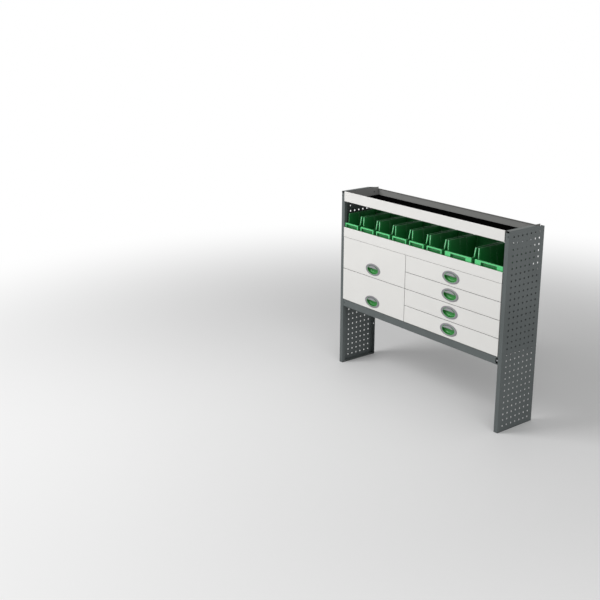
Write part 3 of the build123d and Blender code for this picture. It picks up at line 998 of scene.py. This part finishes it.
@dataclass
class SidePanel:
    """Perforated web with turned-in flanges, folded from one sheet.

    It is made on the right-hand side, at positive X, and turned over for the left.
    """

    node: str
    sheet: float = 1.5 * MM
    bend: float = 2.4 * MM
    return_lip: float = 24 * MM
    rear_flange: float = 28 * MM
    notch: float = 12 * MM
    rear_drop: float = 10 * MM
    rear_run: float = 80 * MM
    relief: float = 4 * MM
    gauge_radius: float = 4 * MM
    gauge_in: float = 8 * MM
    gauge_down: float = 33 * MM
    bolt_back: float = 12 * MM

    def __post_init__(self) -> None:
        """Reads the panel's place from the frame."""
        box = Box(self.node)
        self.side = 1 if box.middle.x > 0 else -1
        self.outer = max(abs(box.low.x), abs(box.high.x))
        self.opening = min(abs(box.low.x), abs(box.high.x))
        self.front, self.rear = box.low.y, box.high.y
        self.top = box.high.z
        self.middle = box.middle
        self.columns = punched_along(box.size.y)
        self.rows = punched_along(box.size.z)

    def web(self) -> Mesh:
        """Makes the flat web with its square holes and plain margins."""
        mesh = bmesh.new()
        size = Matrix.Diagonal((self.columns * PITCH, self.rows * PITCH, 1, 1))
        upright = Matrix(
            (
                (0, 0, 1, self.outer),
                (1, 0, 0, self.middle.y),
                (0, 1, 0, self.middle.z),
                (0, 0, 0, 1),
            )
        )
        bmesh.ops.create_grid(
            mesh, x_segments=self.columns, y_segments=self.rows, size=0.5, matrix=upright @ size
        )
        border = (PITCH - PUNCHED) / 2
        bmesh.ops.inset_individual(
            mesh, faces=mesh.faces[:], thickness=border, use_even_offset=True
        )
        longest = PUNCHED + border / 2
        holes = [f for f in mesh.faces if max(e.calc_length() for e in f.edges) < longest]
        bmesh.ops.delete(mesh, geom=holes, context="FACES_ONLY")
        reach_y = self.columns * PITCH / 2
        reach_z = self.rows * PITCH / 2
        first, last = self.middle.y - reach_y, self.middle.y + reach_y
        low, high = self.middle.z - reach_z, self.middle.z + reach_z
        for axis, place, edge in (
            (Axis.Y, first, self.front),
            (Axis.Y, last, self.rear),
            (Axis.Z, low, 0.0),
            (Axis.Z, high, self.top),
        ):
            extrude_edges(mesh, at(axis, place), axis.vector * (edge - place))
        slope_start = Vector((0, self.rear - self.rear_run, self.top - self.notch))
        top_strip = within(Axis.Z, high, self.top)
        foot_strip = within(Axis.Z, 0.0, low)
        slice_faces(mesh, top_strip, slope_start, Axis.Y.vector)
        slice_faces(mesh, top_strip, Vector((0, self.front + self.relief, 0)), Axis.Y.vector)
        for place in (self.front + self.relief, self.rear - self.relief):
            slice_faces(mesh, foot_strip, Vector((0, place, 0)), Axis.Y.vector)
        for corner in mesh.verts:
            if abs(corner.co.z - self.top) < NEAR and corner.co.y > slope_start.y:
                corner.co.z -= self.rear_drop * (corner.co.y - slope_start.y) / self.rear_run
        slice_faces(mesh, top_strip, slope_start, Axis.Z.vector)
        return mesh

    def flanges(self, mesh: Mesh) -> None:
        """Folds the flanges out of the web's open edges and rounds the folds."""
        inward = self.outer - self.opening
        notch_z = self.top - self.notch
        slope_y = self.rear - self.rear_run
        start_y = self.front + self.relief
        end_y = self.rear - self.relief
        on_web = at(Axis.X, self.outer)
        front_edge = all_of(at(Axis.Y, self.front), up_to(Axis.Z, notch_z))
        lip_edge = all_of(front_edge, at(Axis.X, self.opening))
        foot_edge = all_of(on_web, at(Axis.Z, 0.0), within(Axis.Y, start_y, end_y))
        top_edge = all_of(on_web, at(Axis.Z, self.top), within(Axis.Y, start_y, slope_y))
        extrude_edges(mesh, front_edge, (-inward, 0, 0))
        extrude_edges(mesh, lip_edge, (0, self.return_lip, 0))
        extrude_edges(mesh, at(Axis.Y, self.rear), (-self.rear_flange, 0, 0))
        extrude_edges(mesh, foot_edge, (-inward, 0, 0))
        extrude_edges(mesh, top_edge, (-inward, 0, 0))
        round_edges(mesh, folds(mesh), self.bend, 4)

    def holes(self) -> list[Hole]:
        """Lists the holes beside the perforations: mounts, gauge holes and the unit's own bolts."""
        found = []
        for mount in RECORD["mounts"]:
            place = Vector(mount["pos_m"])
            if mount["kind"] != "bolt_pattern" or place.x * self.side < 0:
                continue
            axis = Vector(mount["axis"])
            along = Axis.Y.vector if abs(axis.z) > 0.5 else Axis.Z.vector
            step = along * mount["dims"]["spacing_y_mm"] * MM / 2
            radius = mount["dims"]["hole_r_mm"] * MM
            found += [Hole(place + step, axis, radius), Hole(place - step, axis, radius)]
        gauge_x = self.side * (self.outer - self.gauge_in)
        gauge = Vector((gauge_x, self.front, self.top - self.gauge_down))
        found.append(Hole(gauge, Axis.Y.vector, self.gauge_radius))
        for lip in ("top_tray_lip", "bin_shelf_lip"):
            rise = Box(lip).middle.z
            place = Vector((self.side * self.opening, self.front + self.bolt_back, rise))
            found.append(Hole(place, Axis.X.vector, BOLT_HOLE / 2, square=True))
        return found

    def build(self, shop: Workshop) -> None:
        """Makes the panel."""
        mesh = self.web()
        self.flanges(mesh)
        if self.side < 0:
            bmesh.ops.scale(mesh, vec=(-1, 1, 1), verts=mesh.verts[:])
            bmesh.ops.reverse_faces(mesh, faces=mesh.faces[:])
        piece = make_object(mesh, self.node + "_sheet")
        thicken(piece, self.sheet)
        drill(piece, self.holes(), self.return_lip / 2)
        shop.dress(piece, self.node, PANEL)


@dataclass
class Tray:
    """White front lip over a grey pan, used for the top tray and the bin shelf."""

    pan: str
    lip: str
    sheet: float = 1.5 * MM
    lip_sheet: float = 1.2 * MM
    bend: float = 1.8 * MM
    top_return: float = 8 * MM
    rim_return: float = 8 * MM
    rim_down: float = 14 * MM
    end_down: float = 14 * MM
    end_rounding: float = 0.3 * MM
    bolt_back: float = 12 * MM

    def build_lip(self, shop: Workshop) -> None:
        """Makes the lip: a face with its top and lower edges turned back."""
        box = Box(self.lip)
        section = [
            (box.high.y, box.low.z),
            (box.low.y, box.low.z),
            (box.low.y, box.high.z),
            (box.low.y + self.top_return, box.high.z),
        ]
        mesh = folded_run(section, box.low.x, box.high.x, self.bend)
        face_away(mesh, -Axis.Y.vector, up_to(Axis.Y, box.low.y + self.lip_sheet))
        piece = make_object(mesh, self.lip + "_sheet")
        thicken(piece, self.lip_sheet)
        shop.dress(piece, self.lip, WHITE)

    def build_pan(self, shop: Workshop) -> None:
        """Makes the pan: floor, front and rear walls, a turned-in rim and two end walls."""
        box = Box(self.pan)
        lip_top = Box(self.lip).high.z
        rear_rim = lip_top - self.rim_down
        section = [
            (box.low.y, box.high.z),
            (box.low.y, box.low.z),
            (box.high.y, box.low.z),
            (box.high.y, rear_rim),
            (box.high.y - self.rim_return, rear_rim),
        ]
        mesh = folded_run(section, box.low.x, box.high.x, self.bend)
        face_away(mesh, -Axis.Z.vector, up_to(Axis.Z, box.low.z + self.sheet))
        piece = make_object(mesh, self.pan + "_sheet")
        thicken(piece, self.sheet)
        shop.dress(piece, self.pan, TRAY)
        for name, place, way in (("left", box.low.x, 1), ("right", box.high.x, -1)):
            wall = bmesh.new()
            inner = place + way * self.sheet
            low = Vector((min(place, inner), box.low.y + self.sheet, box.low.z + self.sheet))
            high = Vector((max(place, inner), box.high.y - self.sheet, lip_top - self.end_down))
            add_block(wall, low, high, self.end_rounding)
            end = make_object(wall, f"{self.pan}_{name}_end")
            drill(end, self.end_holes(place), 4 * self.sheet)
            shop.attach(end, ROOT, TRAY)

    def end_holes(self, place: float) -> list[Hole]:
        """The bolt's hole and the open fixing hole of one end wall."""
        panel = Box("left_side_panel")
        last = panel.middle.y + (punched_along(panel.size.y) - 1) / 2 * PITCH
        rise = Box(self.lip).middle.z
        bolt = Vector((place, panel.low.y + self.bolt_back, rise))
        fixing = Vector((place, last, rise))
        return [
            Hole(bolt, Axis.X.vector, BOLT_HOLE / 2, square=True),
            Hole(fixing, Axis.X.vector, PUNCHED / 2, square=True),
        ]


# A rib of the mat: share of its pitch and share of its height.
RIB_SHAPE = ((0.0, 0), (0.3, 0), (0.4, 1), (0.7, 1), (0.8, 0))


@dataclass
class Mat:
    """Ribbed rubber mat in the top tray."""

    node: str = "top_tray_mat"
    rib_pitch: float = 6 * MM
    rib: float = 1.0 * MM

    def build(self, shop: Workshop) -> None:
        """Makes the mat as one profile along X, with a low rounded rib at each pitch."""
        box = Box(self.node)
        count = int(box.size.y / self.rib_pitch)
        step = box.size.y / count
        top = box.high.z
        profile = [(box.low.y, box.low.z)]
        for index in range(count):
            start = box.low.y + index * step
            for share, rise in RIB_SHAPE:
                profile.append((start + share * step, top - self.rib * (1 - rise)))
        profile += [(box.high.y, top - self.rib), (box.high.y, box.low.z)]
        mesh = bmesh.new()
        line = [mesh.verts.new((box.low.x, y, z)) for y, z in profile]
        face = mesh.faces.new(line)
        made = bmesh.ops.extrude_face_region(mesh, geom=[face], use_keep_orig=True)
        corners = corners_of(made["geom"])
        bmesh.ops.translate(mesh, verts=corners, vec=Vector((box.size.x, 0, 0)))
        bmesh.ops.recalc_face_normals(mesh, faces=mesh.faces[:])
        shop.dress(make_object(mesh, "top_tray_ribbed_mat"), self.node, MAT)


@dataclass
class Plain:
    """A rigid piece that keeps the CAD form, with its edges rounded."""

    node: str
    finish: Finish
    rounding: float = 0.4 * MM

    def build(self, shop: Workshop) -> None:
        """Makes the rounded copy."""
        piece = make_object(copy_of(self.node, self.rounding), self.node + "_body")
        shop.dress(piece, self.node, self.finish)


# The bezel's crown: share of the ring's width from its inner edge, millimetres behind its front.
BEZEL_CROWN = (
    (0.0, 1.6),
    (0.02, 0.9),
    (0.07, 0.4),
    (0.15, 0.15),
    (0.3, 0.0),
    (0.5, 0.0),
    (0.7, 0.15),
    (0.83, 0.45),
    (0.93, 1.0),
    (0.98, 1.8),
    (1.0, 2.8),
)


@dataclass
class Handle:
    """Oval handle: bezel, finger cup and latch lever."""

    drawer: str
    ring_wide: float = 18.5 * MM
    ring_high: float = 9.5 * MM
    proud: float = 4 * MM
    collar: float = 2.5 * MM
    collar_deep: float = 18 * MM
    wall: float = 1.5 * MM
    seat: float = 0.3 * MM
    brow: float = 2.2 * MM
    hood_sheet: float = 2.4 * MM
    hood_arch: float = 1.6 * MM
    hood_set: float = 0.5 * MM
    side_gap: float = 1.5 * MM
    plate_in: float = 1.2 * MM
    plate_back: float = 3.2 * MM
    bowl_radius: float = 14 * MM
    bowl_steps: int = 8
    flat_wide: float = 0.4
    flat_high: float = 0.2
    lever_steps: int = 36
    hood_rows: int = 10
    lever_angle: float = 50.0

    def __post_init__(self) -> None:
        """Reads the handle's place from the frame."""
        box = Box(self.drawer + "_bezel")
        self.centre = box.middle
        self.half_wide = box.size.x / 2
        self.half_high = box.size.z / 2
        self.front = box.low.y
        self.face = self.front + self.proud
        self.open_wide = self.half_wide - self.ring_wide
        self.open_high = self.half_high - self.ring_high

    def ring(self, share: float, depth: float) -> Station:
        """An oval of the bezel, from its inner edge at 0 to its outer edge at 1."""
        wide = self.open_wide + share * self.ring_wide
        high = self.open_high + share * self.ring_high
        return (wide, high, self.front + depth)

    def build_bezel(self, shop: Workshop) -> None:
        """Makes the crowned ring with its collar."""
        rear = self.face + self.collar_deep
        stations = [(self.open_wide, self.open_high, rear)]
        stations += [self.ring(share, depth * MM) for share, depth in BEZEL_CROWN]
        stations.append((self.half_wide, self.half_high, self.face))
        collar_wide, collar_high = self.open_wide + self.collar, self.open_high + self.collar
        stations += [(collar_wide, collar_high, self.face), (collar_wide, collar_high, rear)]
        mesh = oval_loft(self.centre, stations, closed=True)
        brow = self.centre.z + self.open_high - self.brow
        for corner in mesh.verts:
            if corner.co.y < self.front + self.proud / 2 and corner.co.z > brow:
                share = (corner.co.z - brow) / (self.half_high - self.open_high + self.brow)
                corner.co.z -= self.brow * max(0.0, 1 - share)
        shop.dress(make_object(mesh, self.drawer + "_bezel_ring"), self.drawer + "_bezel", BEZEL)

    def bowl(self, wide: float, high: float, front: float, rear: float) -> list[Station]:
        """The ovals of a bowl from its mouth to the small flat in the middle of its back."""
        stations = [(wide, high, front)]
        for step in range(self.bowl_steps + 1):
            angle = step / self.bowl_steps * math.pi / 2
            inset = self.bowl_radius * (1 - math.cos(angle))
            depth = rear - self.bowl_radius * (1 - math.sin(angle))
            stations.append((wide - inset, high - inset, depth))
        last_wide, last_high, _ = stations[-1]
        stations.append((last_wide * self.flat_wide, last_high * self.flat_high, rear))
        return stations

    def build_cup(self, shop: Workshop) -> None:
        """Makes the finger cup, a bowl with a rounded back."""
        box = Box(self.drawer + "_cup")
        wide, high = self.open_wide - self.seat, self.open_high - self.seat
        front, rear = box.low.y, box.high.y
        outer = self.bowl(wide, high, front, rear)
        inner = self.bowl(wide - self.wall, high - self.wall, front, rear - self.wall)
        mesh = oval_loft(self.centre, [*reversed(outer), *inner], closed=False)
        shop.dress(make_object(mesh, self.drawer + "_cup_bowl"), self.drawer + "_cup", CUP)

    def lever_plate(self, foot: float) -> Mesh:
        """Makes the flat plate behind the hood, which fills the top of the cup's mouth.

        Args:
            foot: height of its lower edge over the handle's middle.

        Returns:
            The open mesh.
        """
        wide = self.open_wide - self.seat - self.wall - self.plate_in
        high = self.open_high - self.seat - self.wall - self.plate_in
        start = math.asin(foot / high)
        mesh = bmesh.new()
        line = []
        for step in range(self.lever_steps + 1):
            turn = start + (math.pi - 2 * start) * step / self.lever_steps
            place = self.centre + Vector((wide * math.cos(turn), 0, high * math.sin(turn)))
            line.append(mesh.verts.new((place.x, self.front + self.plate_back, place.z)))
        mesh.faces.new(line)
        bmesh.ops.recalc_face_normals(mesh, faces=mesh.faces[:])
        face_away(mesh, -Axis.Y.vector)
        return mesh

    def build_lever(self, shop: Workshop) -> None:
        """Makes the hood-like latch lever, bulged, with an arched lower edge, and its plate."""
        box = Box(self.drawer + "_latch")
        half_wide = self.open_wide - self.seat - self.wall - self.side_gap
        high = box.high.z - self.centre.z
        foot = box.low.z - self.centre.z
        reach = half_wide * math.cos(math.asin(foot / high))
        mesh = bmesh.new()
        bmesh.ops.create_grid(
            mesh, x_segments=self.lever_steps, y_segments=self.hood_rows, size=1
        )
        for corner in mesh.verts:
            across, down = corner.co.x, (1 - corner.co.y) / 2
            place = reach * math.sin(across * math.pi / 2)
            rim = high * math.sqrt(1 - (place / half_wide) ** 2)
            low = foot + self.hood_arch * (1 - across * across)
            rise = rim + (min(low, rim) - rim) * down
            bulge = math.sin((high - rise) / (high - foot) * math.pi / 2)
            depth = self.front + self.hood_set + (box.low.y - self.front - self.hood_set) * bulge
            corner.co = Vector((self.centre.x + place, depth, self.centre.z + rise))
        bmesh.ops.remove_doubles(mesh, verts=mesh.verts[:], dist=5 * NEAR)
        loose = [edge for edge in mesh.edges if not edge.link_faces]
        bmesh.ops.delete(mesh, geom=loose, context="EDGES")
        join(mesh, self.lever_plate(foot + self.hood_arch))
        face_away(mesh, -Axis.Y.vector)
        piece = make_object(mesh, self.drawer + "_latch_hood")
        thicken(piece, self.hood_sheet)
        shop.dress(piece, self.drawer + "_latch", LEVER, self.lever_angle)

    def build(self, shop: Workshop) -> None:
        """Makes the three pieces."""
        self.build_bezel(shop)
        self.build_cup(shop)
        self.build_lever(shop)


@dataclass
class Drawer:
    """One drawer: white front pan, box, carriages and handle."""

    name: str
    sheet: float = 1.2 * MM
    bend: float = 1.6 * MM
    back_return: float = 24.8 * MM
    seat: float = 0.3 * MM
    border: float = 6 * MM
    cut_corners: int = 72

    def build_front(self, shop: Workshop, handle: Handle) -> None:
        """Makes the front: edges folded back and in again, with an oval cut-out."""
        box = Box(self.name + "_front")
        mesh = bmesh.new()
        lay = facing_front(box.middle, box.low.y) @ Matrix.Diagonal((box.size.x, box.size.z, 1, 1))
        bmesh.ops.create_grid(mesh, x_segments=1, y_segments=1, size=0.5, matrix=lay)
        made = bmesh.ops.inset_region(mesh, faces=mesh.faces[:], thickness=self.border)["faces"]
        middle = [f for f in mesh.faces if f not in made]
        rim = [e for f in middle for e in f.edges]
        bmesh.ops.delete(mesh, geom=middle, context="FACES_ONLY")
        cut = handle.collar + self.seat
        station = (handle.open_wide + cut, handle.open_high + cut, box.low.y)
        oval = ellipse_loop(mesh, handle.centre, station, self.cut_corners)
        bmesh.ops.triangle_fill(mesh, use_beauty=True, edges=rim + oval)
        bmesh.ops.recalc_face_normals(mesh, faces=mesh.faces[:])
        face_away(mesh, -Axis.Y.vector)
        beside = any_of(at(Axis.X, box.low.x), at(Axis.X, box.high.x))
        over = any_of(at(Axis.Z, box.low.z), at(Axis.Z, box.high.z))
        face_edge = all_of(any_of(beside, over), at(Axis.Y, box.low.y))
        extrude_edges(mesh, face_edge, (0, box.size.y, 0))
        back = extrude_edges(mesh, at(Axis.Y, box.high.y), (0, 0, 0))
        for corner in back:
            corner.co.x += math.copysign(self.back_return, box.middle.x - corner.co.x)
            corner.co.z += math.copysign(self.back_return, box.middle.z - corner.co.z)
        round_edges(mesh, folds(mesh), self.bend, 3)
        piece = make_object(mesh, self.name + "_front_pan")
        thicken(piece, self.sheet)
        shop.dress(piece, self.name + "_front", WHITE)

    def build(self, shop: Workshop) -> None:
        """Makes the drawer."""
        handle = Handle(self.name)
        self.build_front(shop, handle)
        handle.build(shop)
        Plain(self.name + "_box", DRAWER, 0.3 * MM).build(shop)
        Plain(self.name + "_runners", ZINC, 0.3 * MM).build(shop)


@dataclass
class FrontRail:
    """Channel under the drawers, with a plate behind the notch at each end."""

    node: str = "front_rail"
    sheet: float = 2.0 * MM
    set_back: float = 9.0 * MM
    reach: float = 40.0 * MM
    rounding: float = 0.6 * MM
    plate_rounding: float = 0.1 * MM

    def build(self, shop: Workshop) -> None:
        """Makes the rail from its CAD form, with wider end plates."""
        box = Box(self.node)
        mesh = copy_of(self.node, self.rounding)
        inset = Vector((0, 0, self.sheet))
        for side in (-1, 1):
            end = box.high.x if side > 0 else box.low.x
            near = end - side * self.reach
            low = Vector((min(end, near), box.low.y + self.set_back, box.low.z)) + inset
            high = Vector((max(end, near), low.y + self.sheet, box.high.z)) - inset
            add_block(mesh, low, high, self.plate_rounding)
        shop.dress(make_object(mesh, self.node + "_channel"), self.node, PANEL)


# Where each upright rib of a bin's side wall starts and ends along Y.
SMALL_BIN_RIBS = ((-24 * MM, -13 * MM),)
LARGE_BIN_RIBS = ((-16 * MM, -9 * MM), (44 * MM, 54 * MM))


@dataclass
class StorageBin:
    """Open-fronted bin of moulded plastic."""

    node: str
    rounding: float = 0.8 * MM
    lip_rounding: float = 2.2 * MM
    frame_deep: float = 14.0 * MM
    skin: float = 4.2 * MM
    draft: float = 5.6
    rib: float = 0.9 * MM
    rib_margin: float = 6.0 * MM
    mouth_drop: float = 61.0 * MM
    mouth_back: float = 33.0 * MM
    edge_wide: float = 7.0 * MM
    edge_deep: float = 5.0 * MM
    bar: float = 11.0 * MM
    bar_lift: float = 1.5 * MM
    lean: float = 7.0 * MM
    flare: float = 3.5 * MM

    @property
    def rib_places(self) -> tuple[tuple[float, float], ...]:
        """The start and end of each rib of this bin."""
        return SMALL_BIN_RIBS if self.node.startswith("small") else LARGE_BIN_RIBS

    def add_strip(
        self, mesh: Mesh, box: Box, wide: float, inset: float, span: Station, foot: float
    ) -> None:
        """Adds an upright strip on each side wall, leaning with its draft.

        Args:
            mesh: the bin's mesh.
            box: the bin's box.
            wide: the strip's width along X.
            inset: how far its middle lies inside the bin's widest part.
            span: where it starts and ends along Y, and the rounding of its edges.
            foot: height of its lower end.
        """
        slope = math.tan(math.radians(self.draft))
        top = box.high.z - self.rounding
        for side in (-1, 1):
            strip = bmesh.new()
            wall = box.middle.x + side * (box.size.x / 2 - inset)
            low = Vector((wall - wide / 2, span[0], foot))
            high = Vector((wall + wide / 2, span[1], top))
            add_block(strip, low, high, span[2], 3)
            for corner in strip.verts:
                corner.co.x -= side * (box.high.z - corner.co.z) * slope
            self.lean_mouth(strip, box)
            join(mesh, strip)

    def open_window(self, mesh: Mesh, box: Box) -> None:
        """Thins the label frame's bar from below."""
        under = box.high.z - self.mouth_drop - self.bar
        rear = box.low.y + self.frame_deep
        for corner in mesh.verts:
            if abs(corner.co.z - under) < self.rounding and corner.co.y < rear:
                corner.co.z += self.bar_lift

    def lean_mouth(self, mesh: Mesh, box: Box) -> None:
        """Leans the mouth's upright edges forward, most at their feet."""
        foot = box.high.z - self.mouth_drop
        mouth = box.low.y + self.mouth_back
        for corner in mesh.verts:
            place = corner.co
            near = abs(place.y - mouth) < self.edge_deep + self.rounding
            if near and place.z > foot - self.rounding:
                place.y -= self.lean * min(1.0, (box.high.z - place.z) / self.mouth_drop)

    def build(self, shop: Workshop) -> None:
        """Makes the bin from its CAD form with softened edges, softest on the label frame."""
        box = Box(self.node)
        mesh = bare_copy(self.node)
        self.open_window(mesh, box)
        self.lean_mouth(mesh, box)
        face = box.low.y + NEAR
        framing = [e for e in folds(mesh, CORNER_ANGLE) if all(v.co.y < face for v in e.verts)]
        round_edges(mesh, framing, self.lip_rounding, 4)
        behind = face + self.lip_rounding
        rest = [e for e in folds(mesh, CORNER_ANGLE) if all(v.co.y > behind for v in e.verts)]
        round_edges(mesh, rest, self.rounding)
        for start, end in self.rib_places:
            span = (start, end, self.rib / 2)
            self.add_strip(mesh, box, 2 * self.rib, self.skin, span, box.low.z + self.rib_margin)
        mouth = box.low.y + self.mouth_back
        span = (mouth - self.rounding / 2, mouth + self.edge_deep, self.rounding)
        free = max(abs(box.low.x), abs(box.high.x)) < Box("right_side_panel").low.x - self.flare
        inset = self.edge_wide / 2 - (self.flare if free else -self.rounding / 2)
        self.add_strip(mesh, box, self.edge_wide, inset, span, box.high.z - self.mouth_drop)
        shop.dress(make_object(mesh, self.node + "_moulding"), self.node, BIN)


def way_out(azimuth: float, elevation: float) -> Vector:
    """The direction of a station about the object, in degrees; azimuth 0 is the front."""
    turn, rise = math.radians(azimuth), math.radians(elevation)
    level = math.cos(rise)
    return Vector((math.sin(turn) * level, -math.cos(turn) * level, math.sin(rise)))


@dataclass(frozen=True)
class Lamp:
    """A soft square lamp that looks at the middle of the object.

    Azimuth and elevation are in degrees, distance and side in metres, power in watts.
    """

    name: str
    azimuth: float
    elevation: float
    distance: float
    side: float
    power: float

    def build(self) -> None:
        """Hangs the lamp."""
        light = bpy.data.lights.new(self.name, "AREA")
        light.shape = "SQUARE"
        light.size = self.side
        light.energy = self.power
        holder = bpy.data.objects.new(self.name, light)
        bpy.context.scene.collection.objects.link(holder)
        way = way_out(self.azimuth, self.elevation)
        low, high = CAD_BOX
        holder.location = (low + high) / 2 + way * self.distance
        holder.rotation_mode = "QUATERNION"
        holder.rotation_quaternion = (-way).to_track_quat("-Z", "Y")


LAMPS = (
    Lamp("key", azimuth=-28, elevation=40, distance=4.4, side=2.2, power=106),
    Lamp("fill", azimuth=62, elevation=42, distance=5.0, side=3.0, power=60),
)
PHOTO_SIDE = 600
FOCAL_PIXELS = 962
MIDDLE_PIXELS = (275, 250)


@dataclass(frozen=True)
class Studio:
    """Plain pale floor, soft light and the camera of the reference view."""

    azimuth: float = 53.67
    elevation: float = 14.94
    roll: float = -0.17
    place: tuple[float, float, float] = (4.2336, -4.3810, 2.5705)
    sensor: float = 36.0
    sight: float = 200.0
    floor_half: float = 30.0
    floor_tone: float = 0.74
    floor_roughness: float = 0.6
    white_start: float = 1.6
    white_full: float = 5.0
    fill_strength: float = 0.45

    def floor(self) -> None:
        """Lays the floor; far from the object it turns to plain white for the camera."""
        mesh = bmesh.new()
        bmesh.ops.create_grid(mesh, x_segments=8, y_segments=8, size=self.floor_half)
        piece = make_object(mesh, "studio_floor")
        made = bpy.data.materials.new("studio_floor")
        made.use_nodes = True
        board = Board(made.node_tree)
        shader = made.node_tree.nodes["Principled BSDF"]
        shader.inputs["Base Color"].default_value = (*[self.floor_tone] * 3, 1)
        shader.inputs["Roughness"].default_value = self.floor_roughness
        white = board.add("Emission")
        length = board.add("VectorMath", operation="LENGTH")
        board.join(board.place(), length.inputs[0])
        far = board.ramp(length.outputs["Value"], self.white_start, self.white_full, 0.0, 1.0)
        path = board.add("LightPath")
        seen = board.sum("MAXIMUM", path.outputs["Is Camera Ray"], path.outputs["Is Glossy Ray"])
        mix = board.add("MixShader")
        board.join(board.sum("MULTIPLY", far, seen), mix.inputs["Fac"])
        board.join(shader.outputs["BSDF"], mix.inputs[1])
        board.join(white.outputs["Emission"], mix.inputs[2])
        output = made.node_tree.nodes["Material Output"]
        board.join(mix.outputs["Shader"], output.inputs["Surface"])
        piece.data.materials.append(made)

    def world(self) -> None:
        """White to the camera and to transmitted rays, a plain fill for everything else."""
        world = bpy.data.worlds.new("studio")
        bpy.context.scene.world = world
        world.use_nodes = True
        board = Board(world.node_tree)
        back = world.node_tree.nodes["Background"]
        path = board.add("LightPath")
        rays = (path.outputs["Is Camera Ray"], path.outputs["Is Transmission Ray"])
        strength = board.ramp(board.sum("MAXIMUM", *rays), 0.0, 1.0, self.fill_strength, 1.0)
        board.join(strength, back.inputs["Strength"])
        back.inputs["Color"].default_value = (1, 1, 1, 1)

    def camera(self) -> None:
        """Sets the camera of the reference view."""
        lens = bpy.data.cameras.new("camera")
        across, down = MIDDLE_PIXELS
        lens.sensor_width = self.sensor
        lens.lens = self.sensor * FOCAL_PIXELS / PHOTO_SIDE
        lens.shift_x = 0.5 - across / PHOTO_SIDE
        lens.shift_y = down / PHOTO_SIDE - 0.5
        lens.clip_end = self.sight
        holder = bpy.data.objects.new("camera", lens)
        bpy.context.scene.collection.objects.link(holder)
        holder.location = self.place
        holder.rotation_mode = "QUATERNION"
        look = (-way_out(self.azimuth, self.elevation)).to_track_quat("-Z", "Y")
        tilt = Matrix.Rotation(math.radians(self.roll), 3, "Z").to_quaternion()
        holder.rotation_quaternion = look @ tilt
        bpy.context.scene.camera = holder

    def build(self) -> None:
        """Sets the stage."""
        bpy.context.scene.view_settings.view_transform = "Standard"
        self.floor()
        self.world()
        for lamp in LAMPS:
            lamp.build()
        self.camera()


def main() -> None:
    """Builds the sub-assemblies in order, then the studio."""
    shop = Workshop()
    for node in ("left_side_panel", "right_side_panel"):
        SidePanel(node).build(shop)
    trays = (
        Tray("top_tray", "top_tray_lip", end_down=2.5 * MM),
        Tray("bin_shelf", "bin_shelf_lip"),
    )
    for tray in trays:
        tray.build_lip(shop)
        tray.build_pan(shop)
    Mat().build(shop)
    for node in ("tray_brackets", "cabinet_left_wall", "cabinet_right_wall", "column_divider"):
        Plain(node, PANEL).build(shop)
    FrontRail().build(shop)
    Plain("cabinet_floor", TRAY).build(shop)
    Plain("fixed_runners", ZINC, 0.3 * MM).build(shop)
    Plain("bolts", ZINC, 0.5 * MM).build(shop)
    drawers = sorted(node[: -len("_front")] for node in frame["nodes"] if node.endswith("_front"))
    for name in drawers:
        Drawer(name).build(shop)
    for node in sorted(frame["nodes"]):
        if "_bin_" in node:
            StorageBin(node).build(shop)
    Studio().build()


if __name__ == "__main__":
    logging.basicConfig(level=logging.INFO, format="%(message)s")
    main()
